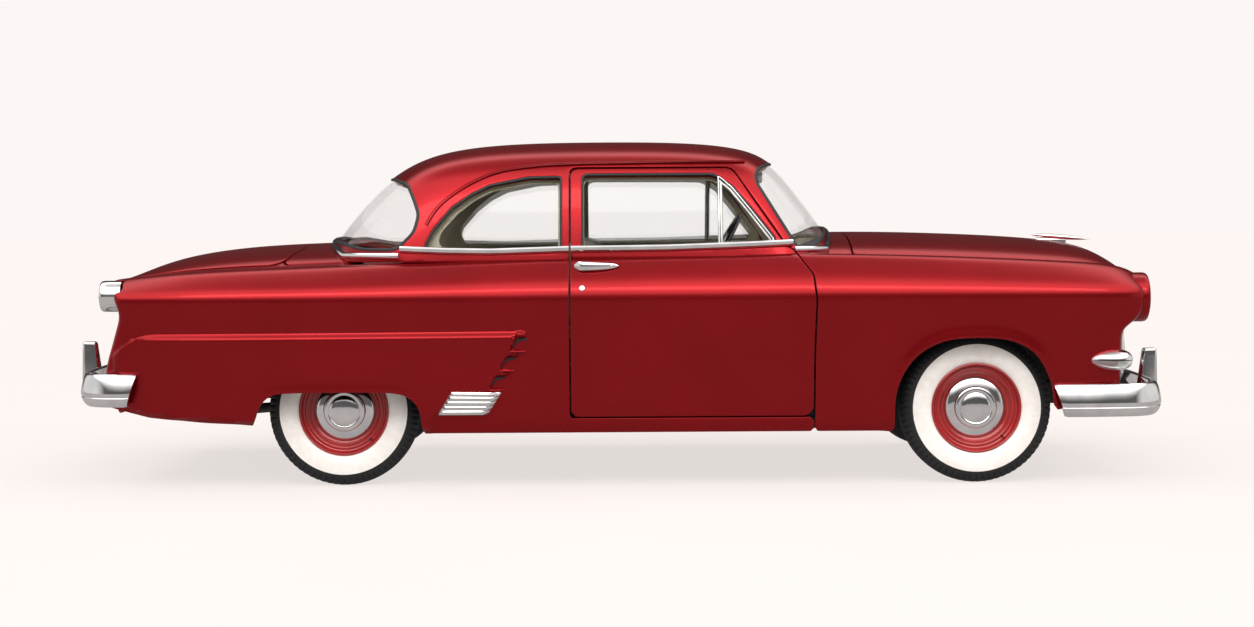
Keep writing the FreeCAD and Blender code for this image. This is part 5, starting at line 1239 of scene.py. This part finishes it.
def parking_pod():
    """Torpedo lamp: with u from 0 at the rear to 1, radius goes as u^0.62 (1 - u)^0.38; bright above, glass
    below."""
    t = -np.cos(np.linspace(0, math.pi, 44))
    u = (t + 1) / 2
    radius = u ** 0.62 * (1 - u) ** 0.38 / (0.62 ** 0.62 * 0.38 ** 0.38)
    half = np.linspace(0.05, math.pi - 0.05, 24)
    a = np.concatenate([half, half + math.pi])
    grid = np.stack([np.repeat((2246 + 98 * t)[:, None], len(a), 1), -880 + 58 * radius[:, None] * np.cos(a),
                     571 + 49 * radius[:, None] * np.sin(a)], 2)
    faces = grid_faces(len(t), len(a), False, True)
    column = faces[:, 0] % len(a)
    number = np.where(column < 23, 0, np.where((column == 23) | (column == 47), 2, 1))
    return grid.reshape(-1, 3), [(faces[number == k], k) for k in range(3)]


head_lamps = at_both(LAMP_Y, LAMP_Z, 1, (HEAD_CHROME, 96, 0), (REFLECTOR, 64, 0), (HEAD_LENS, 64, 1))
piece("headlamp_rims", at_both(LAMP_Y, LAMP_Z, 1, (HEAD_RIM, 96, 0)), [ENAMEL], "chassis")
piece("front_lamp_glass", joined([head_lamps, both(parking_pod())]), [CHROME, LAMP_GLASS, SEAL], "chassis",
      ["front_lenses"])
piece("tail_lamp_bezels", at_both(TAIL_LAMP_Y, TAIL_LAMP_Z, -1, (BEZEL_LINE, 72, 0)), [CHROME], "chassis",
      ["tail_lamps"])
piece("tail_lamp_lenses", at_both(TAIL_LAMP_Y, TAIL_LAMP_Z, -1, (TAIL_LENS, 72, 0)), [RUBY], "chassis",
      ["tail_lenses"])

# Seats: padded benches in the space of their plain solids. A profile is (x, z, radius of the corner).
FRONT_CUSHION = [(-130, 540, 30), (-60, 412), (300, 412), (350, 540, 40), (345, 690, 60), (-120, 660, 20)]
FRONT_BACK = [(-170, 560, 40), (-60, 560, 20), (-62, 690, 60), (-80, 1080, 40), (-120, 1140, 30),
              (-255, 1140, 40), (-290, 1060, 60), (-260, 760)]
REAR_CUSHION = [(-1000, 546), (-600, 546), (-590, 600, 20), (-600, 675, 60), (-1000, 650)]
REAR_BACK = [(-1000, 600), (-900, 640, 30), (-980, 820, 60), (-1090, 1075, 50), (-1180, 1075, 30),
             (-1165, 546), (-1000, 546)]
PAD_VOXEL = 27
PAD_REACH = 13
CHANNEL_SPACING = 120
CHANNEL_DEPTH = 7


def bench(profile, half):
    """Closed bolster: the side profile carried across the car, its last rings drawn in to round the ends."""
    rings = [(y - half + 14, amount) for y, amount in ((0, 60), (6, 38), (18, 22), (36, 14), (60, 12))]
    middle = np.arange(-half + 100, half - 99, 26.0)
    stations = rings + [(y, 12) for y in middle] + [(-y, amount) for y, amount in reversed(rings)]
    outline = resampled(rounded(profile), 24, True)
    return lofted([np.insert(drawn_in(outline, amount), 1, y, axis=1) for y, amount in stations])


def vertex_values(mesh, name):
    """One vector for each vertex of a mesh."""
    values = np.empty(len(mesh.vertices) * 3, np.float32)
    mesh.vertices.foreach_get(name, values)
    return values.reshape(-1, 3).astype(float)


def settled(pad):
    """Mesh of a pad with its modifiers applied."""
    bpy.context.view_layer.update()
    return bpy.data.meshes.new_from_object(pad.evaluated_get(bpy.context.evaluated_depsgraph_get()))


def blown_up(pad, mesh):
    """Moves the mesh of a pad to where cloth settles in 20 frames under pressure without gravity, no point
    moving further than PAD_REACH."""
    start = vertex_values(mesh, "co")
    cloth = pad.modifiers.new("cloth", "CLOTH")
    cloth.settings.use_pressure = True
    cloth.settings.uniform_pressure_force = 4
    cloth.settings.effector_weights.gravity = 0
    for step in range(1, 21):
        bpy.context.scene.frame_set(step)
    moved = vertex_values(settled(pad), "co") - start
    length = np.maximum(np.linalg.norm(moved, axis=1, keepdims=True), 1e-9)
    pad.modifiers.clear()
    at = start + moved * np.minimum(1, PAD_REACH / 1000 / length)
    mesh.vertices.foreach_set("co", at.astype(np.float32).ravel())
    bpy.context.scene.frame_set(1)


def swollen(part):
    """A closed form remeshed in voxels, blown up as cloth and subdivided once, with sewn channels sunk on
    the faces towards front or rear, each as a bell curve of the distance from its seam."""
    points, groups = part
    mesh = bpy.data.meshes.new("pad")
    mesh.from_pydata((points / 1000).tolist(), [], [f for group, _ in groups for f in group.tolist()])
    pad = bpy.data.objects.new("pad", mesh)
    bpy.context.scene.collection.objects.link(pad)
    remesh = pad.modifiers.new("remesh", "REMESH")
    remesh.mode = "VOXEL"
    remesh.voxel_size = PAD_VOXEL / 1000
    mesh = settled(pad)
    pad.modifiers.clear()
    pad.data = mesh
    blown_up(pad, mesh)
    finer = pad.modifiers.new("finer", "SUBSURF")
    finer.levels = 1
    mesh = settled(pad)
    at = vertex_values(mesh, "co") * 1000
    normal = vertex_values(mesh, "normal")
    half = CHANNEL_SPACING / 2
    away = abs((at[:, 1] + half) % CHANNEL_SPACING - half)
    sunk = CHANNEL_DEPTH * np.exp(-(away / 7) ** 2) * np.clip(abs(normal[:, 0]) * 1.6 - 0.5, 0, 1)
    quads = np.empty(len(mesh.polygons) * 4, np.int32)
    mesh.polygons.foreach_get("vertices", quads)
    bpy.data.objects.remove(pad)
    return at - normal * sunk[:, None], [(quads.reshape(-1, 4), 0)]


for name, profile, half_width, node in (("front_bench_cushion", FRONT_CUSHION, 660, "front_seat"),
                                        ("front_bench_back", FRONT_BACK, 660, "front_seat"),
                                        ("rear_bench_cushion", REAR_CUSHION, 555, "rear_seat"),
                                        ("rear_bench_back", REAR_BACK, 555, "rear_seat")):
    piece(name, swollen(bench(profile, half_width)), [CLOTH], "chassis", [node])

# Bright strip along the belt. Its sections are (along the normal's left, outwards).
BELT_SECTION = [(2, -2), (0, 4), (-5, 12), (-14, 17), (-24, 18), (-31, 13), (-33, 6), (-32, -6), (0, -8)]
FOOT_SECTION = [(15, -4), (15, 4), (10, 11), (0, 14), (-10, 11), (-15, 4), (-15, -4)]


def belt_z(x):
    """Height of the belt at x."""
    table = np.array(BELT_TOP, float)
    return np.interp(x, table[:, 0], table[:, 1])


def belt_strip(x0, x1):
    """Roll of bright metal over the joint of greenhouse and body, from x0 to x1."""
    x = np.linspace(x0, x1, max(3, int(abs(x1 - x0) / 22)))
    at, _ = on_upper(np.column_stack([x, belt_z(x)]))
    return swept(at, [0, -1, 0], BELT_SECTION)


def foot_line(rows, rise, least):
    """Where the greenhouse stands on the body, raised by some millimetres: for each column of its grid the
    height is set again three times from the body below."""
    columns = np.arange(10, 101, 3)
    z = np.full(len(columns), 1110.0)
    for _ in range(3):
        at = np.array([[np.interp(-h, -UPPER[rows, j, 2], UPPER[rows, j, k]) for k in range(3)]
                       for j, h in zip(columns, z)])
        ground, _ = landing(LOWER, LOWER_N, [0, 1], at[:, :2])
        z = np.maximum(ground[:, 2] + rise, least)
    return at


def end_strip(rows, x_end, least):
    """Bright roll round the foot of the windscreen or backlight, from one side of the car to the other."""
    way = np.sign(x_end)
    right = foot_line(rows, 14, least)
    right = right[(right[:, 0] - x_end) * way > 0]
    x0 = x_end + 5 * way
    start, _ = on_upper(np.array([[x0, belt_z(x0) - 15]]))
    right = np.concatenate([start, right[abs(right[:, 0] - x0) > 25]])
    path = resampled(flowing(np.concatenate([right, right[-2::-1] * [1, -1, 1]]), 6), 20)
    return swept(path, np.cross(np.gradient(path, axis=0), [0, 0, 1.0]) * way, FOOT_SECTION)


cabin_ends = [end_strip(FRONT_ROWS, 802, 1083), end_strip(REAR_ROWS, -1012, 1062)]
piece("belt_strip_body", joined([both(belt_strip(-1010, -233.5))] + cabin_ends), [CHROME], "chassis")
pair("belt_strip", belt_strip(-224.5, 797), [CHROME], "door")

# Window seals, frames and mouldings.
VENT = [(450, 1095, 5), (450, 1434, 5), (470, 1427, 60), (526, 1379), (612, 1273), (722, 1132, 12),
        (705, 1099, 14)]
DOOR_MOULDING = [(-164, 1108, 14), (-164, 1428, 30), (430, 1426, 80), (514, 1370), (596, 1268),
                 (694, 1142, 20), (682, 1108, 20)]
QUARTER_MOULDING = [(-284, 1102, 18), (-284, 1412, 20), (-420, 1408, 200), (-588, 1372), (-672, 1328),
                    (-750, 1266), (-826, 1180, 40), (-850, 1102, 40)]


def reveal(outline, inset, sink, profile, finish=0):
    """Frame round a window: its outline drawn in by inset, sunk from the skin, carrying a profile."""
    at, normal = on_upper(drawn_in(resampled(rounded(outline), 14, True), inset), sink)
    return swept(at, normal, profile, closed=True, finish=finish)


def screen_seal(area, rows, foot):
    """Rubber round a curved glass: the crossings of area = 0 with the grid, put in order round their
    middle."""
    f = shared(area, foot - UZ)[rows]
    grid = UPPER[rows]
    found = []
    for a, b in ((np.s_[:-1, :], np.s_[1:, :]), (np.s_[:, :-1], np.s_[:, 1:])):
        i, j = np.nonzero(f[a] * f[b] < 0)
        t = (f[a][i, j] / (f[a][i, j] - f[b][i, j]))[:, None]
        found.append(grid[a][i, j] * (1 - t) + grid[b][i, j] * t)
    found = np.concatenate(found)
    middle = (found.min(0) + found.max(0)) / 2
    found = found[np.argsort(np.arctan2((found[:, 2] - middle[2]) * 2.4, found[:, 1]))]
    path = resampled(found, 15, True)
    path = (np.roll(path, 1, 0) + 2 * path + np.roll(path, -1, 0)) / 4
    flat = grid.reshape(-1, 3)
    nearest = np.array([np.argmin(((flat - p) ** 2).sum(1)) for p in path])
    normal = UPPER_N[rows].reshape(-1, 3)[nearest]
    return swept(path - normal * 2, normal, round_profile(17, 5), closed=True)


def moulding(window_area, outline):
    """Painted frame inside a window, from its opening out over the panel, 43 mm in from the skin."""
    ring = shared(-distance(UX, UZ, rounded(outline)), window_area - 24, 1052 - UZ, within(UY < 0))
    return trimmed(UPPER - UPPER_N * 43, UPPER_N, ring, 7, edge=1.5)


def mirror():
    """Rear view mirror: a leaning stem, a squared case and its face."""
    a = circle(14)
    stem = lofted([np.column_stack([668 + 6 * np.cos(a) + 0.3 * (1512 - h), 6 * np.sin(a), np.full(14, h)])
                   for h in (1516, 1480, 1440)])
    return joined([stem, shaped((692, 0, 1424), (30, 200, 66), 0.6, finish=1),
                   shaped((679, 0, 1424), (8, 186, 54), 0.5, finish=2)])


screen_seals = [screen_seal(SCREEN_AREA, FRONT_ROWS, 1092), screen_seal(BACKLIGHT_AREA, REAR_ROWS, 1086)]
piece("screen_seals", joined(screen_seals), [SEAL], "chassis")
door_reveal = joined([reveal(DOOR_WINDOW, 4, 5, round_profile(13, 5), 1),
                      reveal(VENT, 9, 7, round_profile(9, 8)), reveal(VENT, 21, 9, round_profile(14, 4), 2)])
pair("door_reveal", door_reveal, [CHROME, SEAL, STEEL], "door")
piece("quarter_reveals", both(reveal(QUARTER_WINDOW, 4, 5, round_profile(13, 5))), [SEAL], "chassis")
pair("window_moulding", moulding(WINDOW_AREA, DOOR_MOULDING), [INTERIOR], "door")
piece("quarter_mouldings", both(moulding(QUARTER_WINDOW_AREA, QUARTER_MOULDING)), [INTERIOR], "chassis")
piece("rear_view_mirror", mirror(), [CHROME, SEAL, STEEL], "chassis")

# Gutter over the doors.
GUTTER = [(-7, -2), (-8, 7), (-6, 9), (-3, 8), (-2, 3), (2, 3), (4, 6), (7, 5), (8, -2)]
drip_rail = swept(*on_upper(resampled(flowing(DRIP_LINE, 10), 16)), GUTTER)
piece("drip_rails", both(drip_rail), [ENAMEL], "chassis")

# Door handles and locks.
HANDLE_REAR = -208
HANDLE_FRONT = -5
LOCK_LINE = [(0, -3), (13, -3), (13.5, 2), (11, 5), (8, 5.5), (7, 4), (3, 4), (0, 4)]


def door_handle():
    """Pull handle: oval rings along x, tall and deep behind and tapering to the front, on two feet, with
    the lock below."""
    x = np.linspace(HANDLE_REAR, HANDLE_FRONT, 44)
    t = (x - HANDLE_REAR) / (HANDLE_FRONT - HANDLE_REAR)
    quarter = math.pi / 2
    high = 24 * np.sin(np.clip(t * 9 + 0.3, 0, quarter)) * (1 - 0.5 * t ** 1.2) * np.sqrt(1 - t ** 10 * 0.98)
    deep = 11 * np.sin(np.clip(t * 8, 0, quarter)) * (1 - 0.55 * t)
    proud = 27 * np.sin(np.clip(t * 5 + 0.5, 0, quarter)) * (1 - 0.7 * t ** 4)
    skin, _ = on_side(np.column_stack([x, np.full(len(x), 1012.0)]))
    a = circle(28)
    y = (skin[:, 1] - proud)[:, None] - np.maximum(deep, 0.4)[:, None] * np.cos(a)
    z = (1014 - 6 * t * (1 - t))[:, None] + np.maximum(high, 0.4)[:, None] * np.sin(a)
    parts = [lofted(np.stack([np.repeat(x[:, None], 28, 1), y, z], 2))]
    for foot_x, radius in ((-176, 12), (-38, 6)):
        base, _ = on_side(np.array([[foot_x, 1014.0]]))
        foot = [(0, -6), (radius + 5, -6), (radius + 5, 0), (radius + 2, 4), (radius, 8), (radius - 2, 26),
                (0, 28)]
        parts.append(turned(foot, base[0], (0, -1, 0), 32))
    base, out = on_side(np.array([[-172.0, 915.0]]))
    parts.append(turned(LOCK_LINE, base[0], out[0], 32))
    return joined(parts)


pair("door_handle", door_handle(), [CHROME], "door")

# Cabin fittings.
BOSS_LINE = [(0, -4), (18, -4), (18, 5), (13, 11), (0, 12)]
KNOB_LINE = [(0, -4), (7, -4), (8, 4), (11, 12), (11, 22), (7, 27), (0, 28)]
BEZEL_RING = [(0, -4), (37, -4), (38, 4), (36, 7), (33, 7), (32, 2), (0, 2)]
DIAL_FACE = [(0, 1), (31, 1), (31, 3), (0, 3)]
LID_KNOB = [(0, -4), (9, -4), (8, 6), (11, 12), (8, 17), (0, 18)]
HORN_BUTTON = [(0, 14), (40, 14), (41, 19), (37, 23), (20, 28), (0, 30)]
COLUMN_END = np.array([502.0, 380.0, 1029.0])
COLUMN_AXIS = np.array([-0.8660254, 0, 0.5])
COLUMN_UP = np.array([0.5, 0, 0.8660254])


def door_furniture():
    """Armrest, window crank and latch lever on the door's inner face."""
    spots, out = on_side(np.array([[120, 790.0], [470, 800], [610, 900]]), -DOOR_WALL)
    parts = [shaped(spots[0] - out[0] * 27, (290, 60, 58), 0.55)]
    a = circle(28)
    for spot, inward, length, angle in ((spots[1], -out[1], 105, math.radians(-50)),
                                        (spots[2], -out[2], 92, math.radians(190))):
        t = np.linspace(0, 1, 12)[:, None]
        arm = spot + inward * (9 + 9 * t) + length * np.array([math.cos(angle), 0, math.sin(angle)]) * t
        parts.append(turned(BOSS_LINE, spot, inward, 32, finish=1))
        parts.append(swept(arm, inward, np.column_stack([7 * np.cos(a), 4 * np.sin(a)]), finish=1))
        parts.append(turned(KNOB_LINE, arm[-1], inward, 24, finish=2))
    return joined(parts)


def dial(y, turn):
    """Bezel, dark face and pale hand of a dial on the instrument hood, the hand turned by some degrees."""
    facing = np.array([-0.971, 0, -0.238])
    upward = np.array([0.238, 0, -0.971])
    at = np.array([749.0, y, 995.0])
    turn = math.radians(turn)
    along = upward * -math.sin(turn) + np.array([0, math.cos(turn), 0])
    hand = at + facing * 4 + along * np.linspace(0, 26, 6)[:, None]
    return joined([turned(BEZEL_RING, at, facing, 48), turned(DIAL_FACE, at, facing, 48, finish=1),
                   swept(hand, facing, [(-1.4, -1), (-1.4, 1), (1.4, 1), (1.4, -1)], finish=3)])


def dash_fittings():
    """Three dials, the glove box lid with its knob, and a bright bead across the dashboard."""
    up = np.array([0.196, 0, 0.981])
    back = np.array([-0.981, 0, 0.196])
    a = circle(28)
    u = 44 * squared(np.cos(a), 0.3)[:, None]
    w = 4 * squared(np.sin(a), 0.3)[:, None]
    lid = lofted([np.array([785.0, y, 953.0]) + u * up * grow + w * back
                  for y, grow in ((-540, 0.9), (-534, 1), (-400, 1), (-266, 1), (-260, 0.9))], finish=2)
    bead = np.column_stack([np.full(60, 795.0), np.linspace(-640, 225, 60), np.full(60, 1006.0)])
    return joined([dial(300, 40), dial(380, 75), dial(460, 120), lid,
                   turned(LID_KNOB, (788, -400, 985), back, 24), swept(bead, back, round_profile(11, 6))])


def horn_ring():
    """Circle about the column's axis, and the button in its middle."""
    turn = circle(72)[:, None]
    ring = COLUMN_END + COLUMN_AXIS * 11 + 118 * (np.cos(turn) * [0, 1, 0] + np.sin(turn) * COLUMN_UP)
    a = circle(28)
    return joined([swept(ring, COLUMN_AXIS, np.column_stack([4 * np.cos(a), 4 * np.sin(a)]), closed=True),
                   turned(HORN_BUTTON, COLUMN_END, COLUMN_AXIS, 48)])


pair("door_furniture", door_furniture(), [CLOTH, CHROME, RESIN], "door")
piece("dash_fittings", dash_fittings(), [CHROME, SEAL, INTERIOR, WHITEWALL], "chassis")
piece("horn_ring", horn_ring(), [CHROME], "steering_wheel")

# Stone guards and louvres of the rear fenders.
GUARD_CORNERS = np.array([[-840, 338], [-607, 338], [-540, 443], [-773, 447]], float)
GUARD_LENGTH = 235
GUARD_HEIGHT = 108
GUARD_RIBS = 5


def refined(grid, count):
    """A grid with its rows spread to count, straight between them."""
    rows = np.linspace(0, len(grid) - 1, count)
    flat = grid.reshape(len(grid), -1)
    out = np.column_stack([np.interp(rows, np.arange(len(grid)), flat[:, k]) for k in range(flat.shape[1])])
    return out.reshape((count,) + grid.shape[1:])


def stone_guard():
    """Ribbed plate: bilinear between its corners, laid on the fender, raised at its edges and by rounded
    ribs that go as a power of a sine."""
    s = np.linspace(0, 1, 9)[:, None, None]
    t = np.linspace(0, 1, 9)[None, :, None]
    flat = ((1 - s) * (1 - t) * GUARD_CORNERS[0] + s * (1 - t) * GUARD_CORNERS[1] + s * t * GUARD_CORNERS[2]
            + (1 - s) * t * GUARD_CORNERS[3])
    at, _ = on_side(flat.reshape(-1, 2))
    skin = refined(at.reshape(9, 9, 3), 40)
    skin = refined(skin.transpose(1, 0, 2), 90).transpose(1, 0, 2)
    u = np.linspace(0, 1, 40)[:, None]
    v = np.linspace(0, 1, 90)[None]
    from_end = np.minimum(u, 1 - u) * GUARD_LENGTH
    from_edge = np.minimum(v, 1 - v) * GUARD_HEIGHT
    border = np.clip(np.minimum(from_end, from_edge) / 5, 0, 1)
    rib = abs(np.sin(v * math.pi * GUARD_RIBS)) ** 0.7 * np.clip((from_end - 8) / 14, 0, 1)
    rise = 3 + 3 * np.sqrt(border) + 4.5 * rib * np.clip((from_edge - 3) / 5, 0, 1)
    rise = np.where(border > 0, rise, -3)
    top = (skin + outward_normals(skin, [0, -1, 0]) * rise[:, :, None]).reshape(-1, 3)
    faces = grid_faces(40, 90)
    a, b, _, d = top[faces[2000]]
    return top, [(faces[:, ::-1] if np.cross(b - a, d - a)[1] > 0 else faces, 0)]


def louvre(k):
    """Air louvre: a flush black strip down the back and along the top of its notch, which stands for the
    louvre's opening and paints the shade under the notch's upper and rear edges, and a rolled lip along its
    foot."""
    rear, top = louvre_corner(k)
    front = rear + 34 - 5 * k
    opening_and_shade = flowing([(rear - 27, top - 46), (rear - 14, top - 24), (rear + 6, top - 8),
                    (front + 10, top - 5)], 10)
    at, out = on_side(resampled(opening_and_shade, 5), 1)
    swell = 0.35 + 0.65 * np.sin(np.linspace(0, math.pi, len(at))) ** 0.5
    # Painted shade: this black strip paints the shade under the notch's upper and rear edges, besides
    # standing for the opening.
    black = swept(at, out, [(-7, -8), (-7, 0), (-4, 2), (4, 2), (7, 0), (7, -8)], scale=swell)
    at, _ = on_side(np.column_stack([np.linspace(rear - 36, front, 18), np.full(18, top - 61.0)]))
    limit = np.interp(np.arange(18), [0, 4, 17], [at[0, 1], at[0, 1] + 4, at[-1, 1] - 2])
    at[:, 1] = np.minimum(at[:, 1], limit)
    return joined([black, swept(at, [0, -1, 0], round_profile(11, 7), finish=1)])


piece("stone_guards", both(stone_guard()), [CHROME], "chassis")
piece("fender_louvres", both(joined([louvre(k) for k in range(LOUVRES)])), [SEAL, ENAMEL], "chassis")


def hood_dart():
    """Hood ornament: a low slender dart, its rings swelling as a power of a sine, on a short pylon."""
    x = np.linspace(2044, 2340, 40)[:, None]
    t = (x - x[0]) / (x[-1] - x[0])
    swell = np.sin(np.clip(t * 1.05, 0, 1) * math.pi)
    a = circle(24)
    dart = lofted(np.stack([x * np.ones_like(a), (1 + 15 * swell ** 0.5) * np.cos(a),
                            1130 - 24 * t + (1 + 11 * swell ** 0.6) * np.sin(a)], 2))
    a = circle(12)
    pylon = lofted([np.column_stack([np.full(12, x), 7 * np.cos(a), 1096 + 20 * np.sin(a)])
                    for x in np.linspace(2070, 2215, 16)])
    return joined([dart, pylon])


piece("hood_dart", hood_dart(), [CHROME], "hood")

# CAD nodes that stay.
NODE_FINISH = {
    "frame": CHASSIS, "floor_pan": CHASSIS, "engine": IRON, "rear_axle": CHASSIS, "front_suspension": CHASSIS,
    "exhaust": IRON, "fuel_tank": CHASSIS, "knuckle_right": IRON, "knuckle_left": IRON, "dashboard": INTERIOR,
    "steering_column": INTERIOR, "steering_wheel": RESIN, "front_seat": CLOTH, "rear_seat": CLOTH,
}
for name, material in NODE_FINISH.items():
    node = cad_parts[name]
    node.data.materials.clear()
    node.data.materials.append(material)


# Stage.


def studio_floor():
    """Pale floor 120 m across. It glows softly, bright to the eye and dimmer as the paint and plating see
    it."""
    mesh = bpy.data.meshes.new("studio_floor")
    mesh.from_pydata([(-60, -60, 0), (60, -60, 0), (60, 60, 0), (-60, 60, 0)], [], [(0, 1, 2, 3)])
    floor = bpy.data.objects.new("studio_floor", mesh)
    bpy.context.scene.collection.objects.link(floor)
    material, tree, shader = grained("lit_studio_floor", "#6f6c6b", 0.9, (1500, "#6e6b6a", "#706d6c"),
                                     Specular_IOR_Level=0.0)
    shader.inputs["Emission Color"].default_value = linear("#fff8f5")
    ray = add(tree, "ShaderNodeLightPath")
    glow = add(tree, "ShaderNodeMapRange",
               {"Value": ray.outputs["Is Camera Ray"], "To Min": 0.3, "To Max": 0.74})
    tree.links.new(glow.outputs["Result"], shader.inputs["Emission Strength"])
    mesh.materials.append(material)


def studio_room():
    """Light of the room by direction: a bright band of ceiling over dim walls, with pale walls ahead and
    astern of the car. The camera and the windows see a pale wall all round."""
    world = bpy.data.worlds.new("studio")
    bpy.context.scene.world = world
    world.use_nodes = True
    tree = world.node_tree
    place = add(tree, "ShaderNodeTexCoord")
    way = add(tree, "ShaderNodeSeparateXYZ", {"Vector": place.outputs["Generated"]}).outputs
    slant = add(tree, "ShaderNodeMath", {0: way["Y"], 1: -0.3, 2: way["Z"]}, operation="MULTIPLY_ADD")
    along = add(tree, "ShaderNodeMath", {0: way["X"]}, operation="ABSOLUTE")
    overhead = add(tree, "ShaderNodeMapRange",
                   {"Value": way["Z"], "From Min": 0.86, "From Max": 0.98, "To Min": 2.9, "To Max": 0.75},
                   interpolation_type="SMOOTHSTEP")
    wall = add(tree, "ShaderNodeMapRange",
               {"Value": way["Y"], "From Min": -0.3, "From Max": 0.3, "To Min": 0.13, "To Max": 0.05})
    ceiling = add(tree, "ShaderNodeMapRange",
                  {"Value": slant.outputs["Value"], "From Min": 0.44, "From Max": 0.8,
                   "To Min": wall.outputs["Result"], "To Max": overhead.outputs["Result"]},
                  interpolation_type="SMOOTHSTEP")
    far_walls = add(tree, "ShaderNodeMapRange",
                    {"Value": along.outputs["Value"], "From Min": 0.55, "From Max": 0.85, "To Min": 0.0,
                     "To Max": 0.9}, interpolation_type="SMOOTHSTEP")
    room = add(tree, "ShaderNodeMath",
               {0: ceiling.outputs["Result"], 1: far_walls.outputs["Result"]}, operation="MAXIMUM")
    ray = add(tree, "ShaderNodeLightPath")
    seen = add(tree, "ShaderNodeMath",
               {0: ray.outputs["Is Camera Ray"], 1: ray.outputs["Is Transmission Ray"]}, operation="MAXIMUM")
    level = add(tree, "ShaderNodeMix", {0: seen.outputs["Value"], 2: room.outputs["Value"], 3: 0.97})
    background = tree.nodes["Background"]
    background.inputs["Color"].default_value = linear("#fffaf8")
    tree.links.new(level.outputs[0], background.inputs["Strength"])


def softbox(name, at, to, size_x, size_y, power):
    """Area light at a place, turned to face another."""
    light = bpy.data.lights.new(name, "AREA")
    light.shape = "RECTANGLE"
    light.size = size_x
    light.size_y = size_y
    light.energy = power
    lamp = bpy.data.objects.new(name, light)
    bpy.context.scene.collection.objects.link(lamp)
    away = Vector(at) - Vector(to)
    lamp.matrix_world = Matrix.Translation(at) @ away.to_track_quat("Z", "Y").to_matrix().to_4x4()


def photo_camera(at, lens, pan, tilt, roll):
    """Camera at a place, looking to +Y and turned by three angles in degrees."""
    camera = bpy.data.cameras.new("photo_camera")
    camera.sensor_width = 36
    camera.lens = lens
    holder = bpy.data.objects.new("photo_camera", camera)
    bpy.context.scene.collection.objects.link(holder)
    holder.matrix_world = (Matrix.Translation(at) @ Matrix.Rotation(math.radians(pan), 4, "Z")
                           @ Matrix.Rotation(math.radians(90 + tilt), 4, "X")
                           @ Matrix.Rotation(math.radians(roll), 4, "Z"))
    bpy.context.scene.camera = holder


studio_floor()
studio_room()
softbox("overhead", (0.2, -5.2, 4.6), (0.2, -0.9, 0.9), 9.0, 0.9, 120)
photo_camera((0, -10.83, 1.33), 62.6, -0.184, -3.07, -0.33)
bpy.context.scene.view_settings.view_transform = "Standard"
